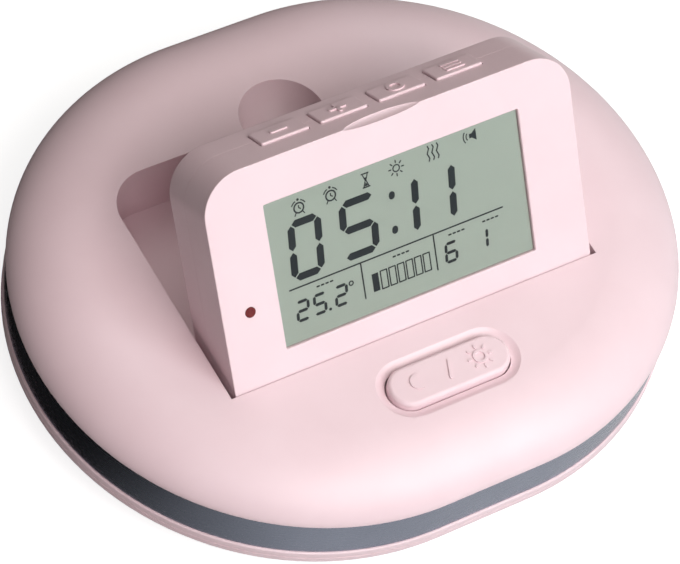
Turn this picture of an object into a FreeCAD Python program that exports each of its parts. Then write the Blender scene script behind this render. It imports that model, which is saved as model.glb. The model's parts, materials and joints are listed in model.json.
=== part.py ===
"""Runaway alarm clock: a round-cornered base on hidden wheels with a fold-down display panel.

Frame: origin on the floor under the middle of the base, +X along the display hinge
(the panel's left edge is at -X), +Y to the back, +Z up. Millimetres.
The panel's own pieces are drawn lying flat about the hinge axis and then tilted up.
"""
import FreeCAD, Part
import math
import os
import Sketcher

doc = FreeCAD.newDocument("runaway_alarm_clock")
sheet = doc.addObject("Spreadsheet::Sheet", "dims")

# Driving dimensions, in millimetres, degrees and counts
DIMENSIONS = {
    # Base, seen from above
    "base_width": 140.0,
    "base_depth": 119.0,
    # Base, from the floor up
    "ground_gap": 2.5,
    "pan_inset": 3.0,
    "lip_bottom": 6.5,
    "lip_height": 3.3,
    "band_height": 9.9,
    "band_inset": 0.4,
    "band_thickness": 1.3,
    "edge_height": 0.6,
    "shoulder_rise": 9.2,
    "shoulder_run": 16.0,
    "shoulder_fullness": 1.6,
    "shoulder_steps": 7,
    "wall": 1.8,
    "floor_thickness": 2.0,
    "skirt_height": 4.2,
    "seam_gap": 0.1,
    # Fits
    "running_gap": 0.05,
    "free_gap": 0.3,
    "seat_gap": 0.02,
    # Display panel
    "panel_width": 81.9,
    "panel_thickness": 15.1,
    "panel_reach": 49.0,
    "panel_tilt": 57.4,
    "panel_corner": 8.5,
    "panel_wall": 1.8,
    "parting_depth": 8.45,
    "barrel_radius": 6.0,
    "barrel_solid": 3.6,
    "window_width": 57.1,
    "window_height": 31.3,
    "window_start": 8.6,
    "lens_thickness": 1.2,
    "lens_recess": 0.3,
    "cell_margin": 2.4,
    "cell_thickness": 1.9,
    "backlight_thickness": 2.5,
    "board_thickness": 1.3,
    "indicator_x": 34.9,
    "indicator_v": 19.3,
    "indicator_radius": 1.1,
    "indicator_flange": 0.8,
    "indicator_led_half": 1.0,
    "indicator_led_height": 0.8,
    "lens_gap": 0.15,
    "board_margin": 0.6,
    "board_side_gap": 1.0,
    "board_wing_low": 13.4,
    "board_wing_high": 33.8,
    "panel_post_side": 5.35,
    "panel_post_low": 9.0,
    "panel_post_top": 10.5,
    "panel_post_extra": 0.4,
    "panel_post_roof": 1.0,
    # Keys in the panel's top edge
    "key_count": 4,
    "key_pitch": 13.0,
    "key_width": 10.5,
    "key_depth": 5.8,
    "key_proud": 0.5,
    "key_flange": 0.8,
    "key_travel": 0.6,
    "key_first_x": -19.0,
    "key_gap": 0.2,
    "key_flange_margin": 0.7,
    "key_stem_length": 2.0,
    "key_stem_radius": 1.2,
    "key_stem_back": 0.4,
    "key_switch_half": 3.0,
    "key_switch_height": 3.4,
    "key_switch_depth": 2.8,
    # Pocket that takes the folded panel
    "rim_from_front": 33.9,
    "pocket_length": 54.7,
    "pocket_side_gap": 1.05,
    "pocket_floor_gap": 0.4,
    "pocket_corner": 9.0,
    "tray_wall": 1.5,
    "dimple_radius": 9.6,
    "dimple_lift": 3.0,
    "dimple_back": 0.5,
    "rim_wedge": 3.0,
    # Panel hinge
    "hinge_pin_radius": 1.5,
    "hinge_pin_depth": 7.0,
    "bushing_radius": 2.6,
    "bushing_length": 4.0,
    "end_gap": 0.5,
    # Snooze button
    "snooze_length": 27.0,
    "snooze_width": 9.0,
    "snooze_from_rim": 12.1,
    "snooze_proud": 1.0,
    "snooze_cap": 3.2,
    "snooze_round": 0.8,
    "snooze_travel": 0.8,
    "dish_run": 1.9,
    "dish_drop": 0.9,
    "snooze_flange": 1.2,
    "snooze_flange_margin": 1.0,
    "snooze_guide_x": 10.0,
    "snooze_guide_radius": 1.4,
    "snooze_stem_radius": 1.5,
    "snooze_board_drop": 8.0,
    "snooze_board_reach": 19.0,
    "snooze_board_half_depth": 4.0,
    "snooze_post_radius": 2.2,
    "snooze_switch_half": 3.0,
    "snooze_switch_height": 3.0,
    # Drive, the same on both sides
    "wheel_y": 12.0,
    "wheel_radius": 11.0,
    "wheel_width": 6.0,
    "wheel_setback": 16.5,
    "wheel_rim": 1.6,
    "wheel_dish": 3.4,
    "wheel_hub_radius": 3.4,
    "hub_proud": 1.0,
    "well_gap": 0.6,
    "tyre_thickness": 2.4,
    "axle_radius": 1.0,
    "gear_module": 0.5,
    "wheel_teeth": 24,
    "idler_small_teeth": 10,
    "idler_large_teeth": 26,
    "pinion_teeth": 10,
    "gear_width": 2.0,
    "idler_rise": 1.0,
    "gear_to_wheel": 2.2,
    "gear_to_gear": 0.5,
    "gear_to_wall": 0.4,
    "gear_to_motor": 1.2,
    "wheel_to_post": 1.4,
    "bearing_margin": 2.6,
    "gear_wall_rise": 3.2,
    "cradle_half": 4.2,
    "cradle_sink": 2.0,
    "cradle_inset": 1.0,
    "motor_nose_radius": 1.6,
    "motor_nose": 0.6,
    "shaft_depth": 3.8,
    "motor_radius": 5.0,
    "motor_length": 12.0,
    # Caster
    "caster_from_front": 18.0,
    "caster_wheel_radius": 4.6,
    "caster_wheel_width": 4.0,
    "caster_trail": 3.4,
    "caster_post_radius": 2.0,
    "cheek_thickness": 1.2,
    "cheek_half": 2.2,
    "cheek_drop": 2.0,
    "caster_swing_gap": 1.0,
    "fork_lift": 0.5,
    "fork_front": 3.4,
    "fork_head": 0.6,
    "fork_head_height": 0.9,
    "caster_pin_radius": 0.8,
    "socket_height": 5.5,
    # Batteries
    "battery_radius": 5.25,
    "battery_length": 44.5,
    "battery_from_back": 23.0,
    "battery_stud": 0.8,
    "battery_stud_radius": 1.9,
    "contact_room": 3.2,
    "contact_thickness": 0.4,
    "contact_half_width": 4.4,
    "contact_half_height": 4.0,
    "spring_radius": 2.4,
    "spring_wall": 0.6,
    "bay_wall": 1.6,
    "bay_rib": 1.4,
    "door_thickness": 1.8,
    "door_pin_radius": 0.55,
    "door_pin_length": 1.5,
    "door_grip_half": 6.0,
    "door_grip_width": 1.6,
    "door_grip_depth": 0.7,
    # Electronics
    "speaker_x": 31.0,
    "speaker_from_front": 23.5,
    "speaker_radius": 10.0,
    "speaker_ring": 1.4,
    "speaker_flange": 1.6,
    "speaker_frame": 2.4,
    "speaker_back": 2.0,
    "speaker_throat": 3.4,
    "magnet_height": 2.4,
    "cone_thickness": 0.4,
    "grille_count": 6,
    "grille_pitch": 5.0,
    "grille_hole": 1.1,
    "switch_x": 31.0,
    "switch_from_front": 19.5,
    "switch_half_length": 5.0,
    "switch_half_width": 2.6,
    "switch_height": 4.2,
    "knob_half_length": 1.6,
    "knob_half_width": 1.2,
    "knob_rest": 1.5,
    "knob_neck": 0.5,
    "main_board_width": 72.0,
    "main_board_depth": 46.0,
    "main_board_lift": 2.2,
    "board_behind": 7.25,
    "standoff_margin": 4.0,
    "standoff_radius": 2.0,
    "standoff_hole": 0.9,
    "chip_half": 4.5,
    "chip_height": 1.4,
    "capacitor_x": 20.0,
    "capacitor_pitch": 10.0,
    "capacitor_radius": 2.4,
    "capacitor_height": 3.4,
    "crystal_x": 17.0,
    "crystal_length": 10.0,
    "crystal_width": 4.0,
    "crystal_height": 2.6,
    # Screws and feet
    "front_screw_side": 24.0,
    "front_screw_end": 29.5,
    "back_screw_side": 30.0,
    "back_screw_end": 21.5,
    "post_wall": 1.5,
    "post_rise": 6.0,
    "post_bite": 6.0,
    "screw_radius": 1.1,
    "screw_head_radius": 2.1,
    "screw_head_height": 1.3,
    "screw_sink": 0.1,
    "head_gap": 0.2,
    "shank_gap": 0.15,
    "glide_side": 36.0,
    "glide_end": 15.5,
    "glide_radius": 3.0,
    "glide_lift": 0.3,
    "glide_peg": 1.25,
}

for row, (alias, number) in enumerate(DIMENSIONS.items(), start=1):
    sheet.set(f"A{row}", alias)
    sheet.set(f"B{row}", str(number))
    sheet.setAlias(f"B{row}", alias)
doc.recompute()


class Size:
    """A length that knows its number and the formula it came from."""

    def __init__(self, value, text):
        self.value = value
        self.text = text

    def __add__(self, other):
        other = size(other)
        return Size(self.value + other.value, f"({self.text} + {other.text})")

    def __sub__(self, other):
        other = size(other)
        return Size(self.value - other.value, f"({self.text} - {other.text})")

    def __mul__(self, other):
        other = size(other)
        return Size(self.value * other.value, f"({self.text} * {other.text})")

    def __truediv__(self, other):
        other = size(other)
        return Size(self.value / other.value, f"({self.text} / {other.text})")

    def __radd__(self, other):
        return size(other) + self

    def __rsub__(self, other):
        return size(other) - self

    def __rmul__(self, other):
        return size(other) * self

    def __rtruediv__(self, other):
        return size(other) / self

    def __neg__(self):
        return Size(-self.value, f"(0 - {self.text})")

    def root(self):
        return Size(math.sqrt(self.value), f"sqrt({self.text})")

    def power(self, other):
        other = size(other)
        return Size(self.value ** other.value, f"pow({self.text}; {other.text})")


def size(number):
    """A plain number as a Size."""
    if isinstance(number, Size):
        return number
    return Size(float(number), repr(float(number)))


def dim(alias):
    """A driving dimension of the sheet."""
    return Size(float(sheet.get(alias)), f"dims.{alias}")


def bind(obj, prop, length):
    obj.setExpression(prop, size(length).text)


nodes = []


def node(obj, name):
    """Make an object a sub-part of its own, exported under its name."""
    obj.Label = name
    nodes.append(obj)
    return obj


def place(obj, x=0, y=0, z=0):
    """Move an object with its placement bound to the sheet."""
    bind(obj, ".Placement.Base.x", x)
    bind(obj, ".Placement.Base.y", y)
    bind(obj, ".Placement.Base.z", z)
    return obj


# Solids between named planes

def box(name, x, y, z):
    """A block; x, y and z are pairs (low, high)."""
    solid = doc.addObject("Part::Box", name)
    bind(solid, "Length", size(x[1]) - x[0])
    bind(solid, "Width", size(y[1]) - y[0])
    bind(solid, "Height", size(z[1]) - z[0])
    return place(solid, x[0], y[0], z[0])


def rod_x(name, radius, x, y, z):
    """A cylinder along X from x[0] to x[1]."""
    solid = doc.addObject("Part::Cylinder", name)
    bind(solid, "Radius", radius)
    bind(solid, "Height", size(x[1]) - x[0])
    solid.Placement.Rotation = FreeCAD.Rotation(FreeCAD.Vector(0, 1, 0), 90)
    return place(solid, x[0], y, z)


def rod_y(name, radius, x, y, z):
    """A cylinder along Y from y[0] to y[1]."""
    solid = doc.addObject("Part::Cylinder", name)
    bind(solid, "Radius", radius)
    bind(solid, "Height", size(y[1]) - y[0])
    solid.Placement.Rotation = FreeCAD.Rotation(FreeCAD.Vector(1, 0, 0), -90)
    return place(solid, x, y[0], z)


def rod_z(name, radius, x, y, z):
    """A cylinder along Z from z[0] to z[1]."""
    solid = doc.addObject("Part::Cylinder", name)
    bind(solid, "Radius", radius)
    bind(solid, "Height", size(z[1]) - z[0])
    return place(solid, x, y, z[0])


def ball(name, radius, x, y, z):
    solid = doc.addObject("Part::Sphere", name)
    bind(solid, "Radius", radius)
    return place(solid, x, y, z)


def fuse(name, *solids):
    joined = doc.addObject("Part::MultiFuse", name)
    joined.Shapes = list(solids)
    return joined


def cut(name, base, *tools):
    """The base without the tools."""
    if len(tools) == 1:
        tool = tools[0]
    else:
        tool = fuse(name + "_tools", *tools)
    result = doc.addObject("Part::Cut", name)
    result.Base = base
    result.Tool = tool
    return result


def common(name, first, second):
    result = doc.addObject("Part::Common", name)
    result.Base = first
    result.Tool = second
    return result


def group(name, solids):
    """Separate solids that share one node."""
    result = doc.addObject("Part::Compound", name)
    result.Links = list(solids)
    return result


# Bodies drawn as sketches

def body(name):
    return doc.addObject("PartDesign::Body", name)


def draw(owner, name, plane="XY_Plane", offset=0):
    """A sketch on one of the body's own origin planes, moved along its normal."""
    sketch = owner.newObject("Sketcher::SketchObject", name)
    support = [f for f in owner.Origin.OriginFeatures if f.Role == plane][0]
    sketch.AttachmentSupport = (support, [""])
    sketch.MapMode = "FlatFace"
    bind(sketch, ".AttachmentOffset.Base.z", offset)
    return sketch


def pin_point(sketch, index, position, x, y):
    """Hold a sketch point at (x, y) from the sketch's origin."""
    for kind, length in (("DistanceX", size(x)), ("DistanceY", size(y))):
        number = sketch.addConstraint(Sketcher.Constraint(kind, index, position, length.value))
        sketch.setExpression(f"Constraints[{number}]", length.text)


def loop(sketch, points, centres=None):
    """A closed outline through points; a stretch with a centre is an arc turning left."""
    centres = centres or {}
    points = [(size(x), size(y)) for x, y in points]
    first = sketch.GeometryCount
    for i, (x, y) in enumerate(points):
        start = FreeCAD.Vector(x.value, y.value, 0)
        to_x, to_y = points[(i + 1) % len(points)]
        end = FreeCAD.Vector(to_x.value, to_y.value, 0)
        if i not in centres:
            sketch.addGeometry(Part.LineSegment(start, end), False)
            continue
        middle = FreeCAD.Vector(size(centres[i][0]).value, size(centres[i][1]).value, 0)
        from_angle = math.atan2(start.y - middle.y, start.x - middle.x)
        to_angle = math.atan2(end.y - middle.y, end.x - middle.x)
        if to_angle < from_angle:
            to_angle += 2 * math.pi
        circle = Part.Circle(middle, FreeCAD.Vector(0, 0, 1), (start - middle).Length)
        sketch.addGeometry(Part.ArcOfCircle(circle, from_angle, to_angle), False)
    for i, (x, y) in enumerate(points):
        after = first + (i + 1) % len(points)
        sketch.addConstraint(Sketcher.Constraint("Coincident", first + i, 2, after, 1))
        pin_point(sketch, first + i, 1, x, y)
    for i, (x, y) in centres.items():
        to_x, to_y = points[(i + 1) % len(points)]
        upright = abs(to_y.value - points[i][1].value) > abs(to_x.value - points[i][0].value)
        kind, length = ("DistanceX", size(x)) if upright else ("DistanceY", size(y))
        number = sketch.addConstraint(Sketcher.Constraint(kind, first + i, 3, length.value))
        sketch.setExpression(f"Constraints[{number}]", length.text)
    return sketch


def rounded(sketch, x, y, radius):
    """A rectangle with round corners; x and y are pairs (low, high)."""
    x0, x1, y0, y1 = size(x[0]), size(x[1]), size(y[0]), size(y[1])
    points = [(x0 + radius, y0), (x1 - radius, y0), (x1, y0 + radius), (x1, y1 - radius),
              (x1 - radius, y1), (x0 + radius, y1), (x0, y1 - radius), (x0, y0 + radius)]
    centres = {1: (x1 - radius, y0 + radius), 3: (x1 - radius, y1 - radius),
               5: (x0 + radius, y1 - radius), 7: (x0 + radius, y0 + radius)}
    return loop(sketch, points, centres)


def stadium(sketch, length, width, x=0, y=0):
    """A slot outline with round ends along X."""
    half = size(width) / 2
    reach = size(length) / 2 - half
    points = [(x - reach, y - half), (x + reach, y - half), (x + reach, y + half), (x - reach, y + half)]
    return loop(sketch, points, {1: (x + reach, size(y)), 3: (x - reach, size(y))})


def pad(owner, sketch, length):
    feature = owner.newObject("PartDesign::Pad", sketch.Name + "_pad")
    feature.Profile = sketch
    bind(feature, "Length", length)
    return feature


def edges_at(feature, test):
    """Names of a feature's edges whose every sampled point passes a test."""
    names = []
    for number, edge in enumerate(feature.Shape.Edges, start=1):
        if all(test(point) for point in edge.discretize(5)):
            names.append(f"Edge{number}")
    return names


def fillet(owner, feature, radius, test):
    doc.recompute()
    rounding = owner.newObject("PartDesign::Fillet", feature.Name + "_round")
    rounding.Base = (feature, edges_at(feature, test))
    bind(rounding, "Radius", radius)
    return rounding


def near(number, target):
    return abs(number - size(target).value) < 0.01


# Named places of the base

half_width = dim("base_width") / 2
half_depth = dim("base_depth") / 2

wall = dim("wall")
free_gap = dim("free_gap")
running_gap = dim("running_gap")
seat_gap = dim("seat_gap")
seam_gap = dim("seam_gap")
pan_bottom = dim("ground_gap")
pan_floor = pan_bottom + dim("floor_thickness")
lip_bottom = dim("lip_bottom")
lip_top = lip_bottom + dim("lip_height")
band_top = lip_top + dim("band_height")
edge_top = band_top + dim("edge_height")
plateau = edge_top + dim("shoulder_rise")
skirt_inset = dim("band_inset") + dim("band_thickness") + seam_gap
skirt_top = lip_top + dim("skirt_height")
rim_y = dim("rim_from_front") - half_depth
above = plateau + half_depth


def outline(sketch, inset):
    """The base seen from above, moved inward by inset: round ends joined by two flats."""
    return stadium(sketch, dim("base_width") - 2 * inset, dim("base_depth") - 2 * inset)


def slab(name, inset, low, high):
    """A plate with the base's outline between two heights."""
    owner = body(name)
    sketch = outline(draw(owner, name + "_outline", offset=low), size(inset))
    pad(owner, sketch, size(high) - low)
    return owner


def dome(name, inset, bottom, drop):
    """The base's upper solid: an upright edge, then a shoulder that eases into a flat crown."""
    owner = body(name)
    inset = size(inset)
    edge = outline(draw(owner, name + "_edge", offset=bottom), inset)
    pad(owner, edge, edge_top - drop - bottom)
    steps = int(dim("shoulder_steps").value)
    levels = []
    for k in range(steps + 1):
        share = (size(k) / dim("shoulder_steps")).power(2)
        flat = 1 - share
        climb = (1 - flat * flat).power(1 / dim("shoulder_fullness"))
        levels.append(outline(
            draw(owner, f"{name}_level_{k}", offset=edge_top - drop + climb * dim("shoulder_rise")),
            inset + share * dim("shoulder_run")))
    slope = owner.newObject("PartDesign::AdditiveLoft", name + "_shoulder")
    slope.Profile = levels[0]
    slope.Sections = levels[1:]
    slope.Ruled = True
    return owner


# Fused pieces bite into each other by BITE; cutting tools run PAST the faces they open

BITE = 0.5
PAST = 1


# Named places of the display panel, flat about the hinge axis

panel_half = dim("panel_width") / 2
barrel = dim("barrel_radius")
panel_front = barrel
panel_back = barrel - dim("panel_thickness")
panel_top = dim("panel_reach")
parting = panel_front - dim("parting_depth")
panel_wall = dim("panel_wall")
inner_front = panel_front - panel_wall
inner_top = panel_top - panel_wall
tilt = dim("panel_tilt")
tilt_sine = Size(math.sin(math.radians(tilt.value)), f"sin({tilt.text} * 1 deg)")
tilt_cosine = Size(math.cos(math.radians(tilt.value)), f"cos({tilt.text} * 1 deg)")

# The axis lies one barrel radius under the crown, and as far behind the rim as brings
# the tilted face just behind the rim's edge
hinge_y = rim_y + (barrel - barrel * tilt_cosine + free_gap) / tilt_sine
hinge_z = plateau - barrel


def tilted(drawn):
    """Stand a flat-drawn panel piece up about the hinge axis."""
    obj = group(drawn.Name + "_up", [drawn])
    obj.Placement.Rotation = FreeCAD.Rotation(FreeCAD.Vector(1, 0, 0), tilt.value)
    bind(obj, ".Placement.Rotation.Angle", tilt)
    return place(obj, 0, hinge_y, hinge_z)


# Top shell: dome with the panel's pocket, the snooze opening and the finger dimple

tray_wall = dim("tray_wall")
pocket_half = panel_half + dim("pocket_side_gap")
pocket_back = rim_y + dim("pocket_length")
pocket_floor = plateau - dim("panel_thickness") - dim("pocket_floor_gap")
cove_radius = barrel + free_gap
cove_front = hinge_y - cove_radius
tray_outer = pocket_half + tray_wall
tray_under = pocket_floor - tray_wall

snooze_y = rim_y - dim("snooze_from_rim")
snooze_hole_length = dim("snooze_length") + 2 * free_gap
snooze_hole_width = dim("snooze_width") + 2 * free_gap
crown_under = plateau - wall
bushing_radius = dim("bushing_radius")
bushing_end = pocket_half + dim("bushing_length")
screw_radius = dim("screw_radius")
screw_post_radius = screw_radius + dim("post_wall")

outer = dome("dome_outer", 0, band_top, 0)
inner = dome("dome_inner", wall, lip_top + seam_gap, wall)

# The skirt stands behind the band and reaches down to the bottom shell's own skirt
skirt = cut("top_skirt",
            slab("top_skirt_outer", skirt_inset, skirt_top + seam_gap, band_top + PAST),
            slab("top_skirt_inner", skirt_inset + wall, skirt_top, band_top + 2 * PAST))
flange = cut("top_flange",
             slab("top_flange_outer", 0, band_top, band_top + PAST),
             slab("top_flange_inner", skirt_inset + wall, band_top - PAST, band_top + 2 * PAST))

tray = box("tray_block", (-tray_outer, tray_outer), (cove_front - tray_wall, pocket_back + tray_wall),
           (tray_under, plateau - BITE))
dimple_y = pocket_back + dim("dimple_back")
dimple_z = plateau + dim("dimple_lift")
bowl = ball("dimple_bowl", dim("dimple_radius") + tray_wall, 0, dimple_y, dimple_z)
hinge_bosses = rod_x("hinge_boss", bushing_radius + tray_wall, (-bushing_end, bushing_end), hinge_y, hinge_z)

# Posts that take the case screws from below, one near each corner
front_screw_x = half_width - dim("front_screw_side")
front_screw_y = dim("front_screw_end") - half_depth
back_screw_x = half_width - dim("back_screw_side")
back_screw_y = half_depth - dim("back_screw_end")
screw_places = [(-front_screw_x, front_screw_y), (front_screw_x, front_screw_y),
                (-back_screw_x, back_screw_y), (back_screw_x, back_screw_y)]
post_foot = pan_floor + dim("post_rise")
post_hole_top = post_foot + dim("post_bite")
posts = [rod_z(f"top_post_{i}", screw_post_radius, x, y, (post_foot, plateau))
         for i, (x, y) in enumerate(screw_places)]
snooze_board_top = plateau - dim("snooze_board_drop")
snooze_board_x = dim("snooze_board_reach")
snooze_posts = [rod_z(f"snooze_post_{i}", dim("snooze_post_radius"), x, snooze_y,
                      (snooze_board_top, crown_under + BITE))
                for i, x in enumerate((-snooze_board_x, snooze_board_x))]
fill = fuse("top_fill", outer, slab("core", skirt_inset, pan_floor, band_top + PAST))
inside = common("top_inside", fuse("top_inside_raw", tray, bowl, hinge_bosses, *posts, *snooze_posts), fill)
top_solid = fuse("top_solid", cut("dome_hollow", outer, inner), skirt, flange, inside)

pocket_body = body("pocket_space")
pad(pocket_body,
    rounded(draw(pocket_body, "pocket_outline", offset=pocket_floor), (-pocket_half, pocket_half),
            (rim_y - dim("pocket_corner") * 2, pocket_back), dim("pocket_corner")),
    above - pocket_floor)
pocket_space = common("pocket_cut", pocket_body,
                      box("pocket_limit", (-pocket_half, pocket_half), (rim_y, pocket_back),
                          (pocket_floor, above)))
cove = fuse("cove_cut",
            rod_x("cove_round", cove_radius, (-pocket_half, pocket_half), hinge_y, hinge_z),
            box("cove_front", (-pocket_half, pocket_half), (cove_front, hinge_y), (pocket_floor, hinge_z)),
            tilted(box("cove_rim", (-pocket_half, pocket_half), (0, dim("rim_wedge")), (0, cove_radius))))
dimple = ball("dimple_cut", dim("dimple_radius"), 0, dimple_y, dimple_z)

snooze_body = body("snooze_space")
pad(snooze_body,
    stadium(draw(snooze_body, "snooze_hole", offset=crown_under - 2 * PAST), snooze_hole_length,
            snooze_hole_width, 0, snooze_y),
    wall + 4 * PAST)
dish_body = body("dish_space")
dish_low = stadium(draw(dish_body, "dish_low", offset=plateau - dim("dish_drop")), snooze_hole_length,
                   snooze_hole_width, 0, snooze_y)
dish_high = stadium(draw(dish_body, "dish_high", offset=plateau), snooze_hole_length + 2 * dim("dish_run"),
                    snooze_hole_width + 2 * dim("dish_run"), 0, snooze_y)
dish = dish_body.newObject("PartDesign::AdditiveLoft", "dish_loft")
dish.Profile = dish_low
dish.Sections = [dish_high]
dish.Ruled = True

bushing_bore = rod_x("bushing_seat", bushing_radius + seat_gap, (-bushing_end - PAST, bushing_end + PAST),
                     hinge_y, hinge_z)
post_holes = [rod_z(f"post_hole_{i}", screw_radius, x, y, (post_foot - PAST, post_hole_top + PAST))
              for i, (x, y) in enumerate(screw_places)]
node(cut("top_shell_body", top_solid, pocket_space, cove, dimple, snooze_body, dish_body, bushing_bore,
         *post_holes), "top_shell")


# Band round the waist, between the two shells

band_outer = slab("band_outer", dim("band_inset"), lip_top + seam_gap, band_top - seam_gap)
band_inner = slab("band_inner", dim("band_inset") + dim("band_thickness"), lip_top - PAST, band_top + PAST)
node(cut("band", band_outer, band_inner), "rim_band")


# Places of the drive, the same on both sides

def span(side, low, high):
    """A stretch of X on the right side, or its mirror image on the left."""
    return (low, high) if side > 0 else (-size(high), -size(low))


module = dim("gear_module")
gear_width = dim("gear_width")
wheel_y = dim("wheel_y")
wheel_z = dim("wheel_radius")
idler_reach = module * (dim("wheel_teeth") + dim("idler_small_teeth")) / 2
idler_z = wheel_z + dim("idler_rise")
idler_y = wheel_y - (idler_reach * idler_reach - dim("idler_rise") * dim("idler_rise")).root()
pinion_reach = module * (dim("idler_large_teeth") + dim("pinion_teeth")) / 2
motor_y = idler_y - pinion_reach
motor_z = idler_z
wheel_in = half_width - dim("wheel_setback")
wheel_out = wheel_in + dim("wheel_width")
wheel_gear_x = wheel_in - dim("gear_to_wheel") - gear_width
large_gear_x = wheel_gear_x - dim("gear_to_gear") - gear_width
gear_wall_out = large_gear_x - dim("gear_to_wall")
gear_wall_in = gear_wall_out - wall
outer_post_in = wheel_out + dim("wheel_to_post")
outer_post_out = outer_post_in + wall
motor_in = large_gear_x + gear_width + dim("gear_to_motor")
motor_out = motor_in + dim("motor_length")
axle_radius = dim("axle_radius")
idler_pin_radius = axle_radius - seam_gap
shaft_radius = axle_radius / 2


# Bottom shell: pan, lip and low skirt, with what stands on its floor

shell_blank = fuse("bottom_blank",
                   slab("pan", dim("pan_inset"), pan_bottom, lip_bottom + PAST),
                   slab("lip", 0, lip_bottom, lip_top),
                   slab("low_skirt", skirt_inset, lip_top - BITE, skirt_top))
shell_space = fuse("bottom_space",
                   slab("space_high", skirt_inset + wall, lip_bottom + wall, skirt_top + PAST),
                   slab("space_low", dim("pan_inset") + wall, pan_floor, lip_bottom + wall + PAST))
root = pan_floor - BITE

caster_y = dim("caster_from_front") - half_depth
caster_clear = dim("caster_trail") + dim("caster_wheel_radius") + dim("caster_swing_gap")
fork_low = 2 * dim("caster_wheel_radius") + dim("fork_lift")
fork_high = fork_low + dim("cheek_thickness")
cup_ceiling = fork_high + free_gap
cup_top = cup_ceiling + tray_wall
socket_top = cup_top + dim("socket_height")
post_radius = dim("caster_post_radius")

battery_radius = dim("battery_radius")
first_row_y = half_depth - dim("battery_from_back")
row_y = [first_row_y, first_row_y + 2 * battery_radius + seam_gap]
bay_half = dim("battery_length") / 2 + dim("contact_room")
bay_front = row_y[0] - battery_radius - free_gap
bay_back = row_y[1] + battery_radius + free_gap
bay_wall_top = tray_under - free_gap
door_half = bay_half + free_gap
door_top = pan_bottom + dim("door_thickness")
battery_z = pan_floor + seam_gap + battery_radius
door_hinge_radius = dim("door_thickness") / 2
door_hinge_y = bay_front + free_gap + door_hinge_radius
door_hinge_z = pan_bottom + door_hinge_radius
door_pin_radius = dim("door_pin_radius")
door_pin_end = door_half + dim("door_pin_length")
bay_wall = dim("bay_wall")
bay_rib = bay_front - dim("bay_rib")

speaker_x = -dim("speaker_x")
speaker_y = dim("speaker_from_front") - half_depth
speaker_radius = dim("speaker_radius")
switch_x = dim("switch_x")
switch_y = dim("switch_from_front") - half_depth
knob_half_x = dim("knob_half_length")
knob_half_y = dim("knob_half_width")
slot_half_x = knob_half_x + dim("knob_rest") + free_gap
slot_half_y = knob_half_y + free_gap
board_half_x = dim("main_board_width") / 2
board_half_y = dim("main_board_depth") / 2
board_y = bay_front - dim("board_behind") - board_half_y
board_low = pan_floor + dim("main_board_lift")
board_high = board_low + dim("board_thickness")
standoff_x = board_half_x - dim("standoff_margin")
standoff_y = board_half_y - dim("standoff_margin")
standoffs = [(side * standoff_x, board_y + end * standoff_y) for end in (-1, 1) for side in (-1, 1)]
glide_x = half_width - dim("glide_side")
glide_y = half_depth - dim("glide_end")
glides = [(-glide_x, glide_y), (glide_x, glide_y)]
glide_peg = dim("glide_peg")

standing = [
    rod_z("caster_cup", caster_clear + tray_wall, 0, caster_y, (root, cup_top)),
    rod_z("caster_socket", post_radius + tray_wall, 0, caster_y, (cup_top - BITE, socket_top)),
    rod_z("speaker_ring", speaker_radius + dim("speaker_ring"), speaker_x, speaker_y,
          (root, pan_floor + dim("speaker_flange") - seam_gap)),
    box("bay_wall_left", (-bay_half - bay_wall, -bay_half), (bay_rib, bay_back + PAST), (root, bay_wall_top)),
    box("bay_wall_right", (bay_half, bay_half + bay_wall), (bay_rib, bay_back + PAST), (root, bay_wall_top)),
    box("bay_rib", (-bay_half - bay_wall, bay_half + bay_wall), (bay_rib, bay_front), (root, bay_wall_top)),
]
standing += [rod_z(f"low_post_{i}", screw_post_radius, x, y, (root, post_foot - seam_gap))
             for i, (x, y) in enumerate(screw_places)]
standing += [rod_z(f"standoff_{i}", dim("standoff_radius"), x, y, (root, board_low)) for i,
             (x, y) in enumerate(standoffs)]

openings = [
    rod_z("caster_cup_bore", caster_clear, 0, caster_y, (pan_bottom - PAST, cup_ceiling)),
    rod_z("caster_socket_bore", post_radius + running_gap, 0, caster_y,
          (cup_ceiling - PAST, socket_top + PAST)),
    rod_z("speaker_seat", speaker_radius + dim("head_gap"), speaker_x, speaker_y,
          (pan_floor, pan_floor + 4 * PAST)),
    box("door_opening", (-door_half - free_gap, door_half + free_gap), (bay_front, bay_back),
        (pan_bottom - PAST, pan_floor)),
    box("bay_space", (-bay_half, bay_half), (bay_front, bay_back), (pan_bottom, bay_wall_top + PAST)),
    rod_x("door_pin_hole", door_pin_radius + running_gap, (-door_pin_end - free_gap, door_pin_end + free_gap),
          door_hinge_y, door_hinge_z),
    box("switch_slot", (switch_x - slot_half_x, switch_x + slot_half_x),
        (switch_y - slot_half_y, switch_y + slot_half_y),
        (pan_bottom - PAST, pan_floor + PAST)),
]
grille_count = int(dim("grille_count").value)
grille = [(size(0), size(0))]
for k in range(grille_count):
    turn = 2 * math.pi * k / grille_count
    grille.append((dim("grille_pitch") * math.cos(turn), dim("grille_pitch") * math.sin(turn)))
openings += [rod_z(f"grille_{i}", dim("grille_hole"), speaker_x + dx, speaker_y + dy,
                   (pan_bottom - PAST, pan_floor + PAST))
             for i, (dx, dy) in enumerate(grille)]
openings += [rod_z(f"low_post_hole_{i}", screw_radius + dim("shank_gap"), x, y,
                   (pan_bottom - PAST, post_foot + PAST))
             for i, (x, y) in enumerate(screw_places)]
case_head_foot = pan_bottom + dim("screw_sink")
case_head_top = case_head_foot + dim("screw_head_height")
openings += [rod_z(f"screw_head_seat_{i}", dim("screw_head_radius") + dim("head_gap"), x, y,
                   (pan_bottom - PAST, case_head_top))
             for i, (x, y) in enumerate(screw_places)]
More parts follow.
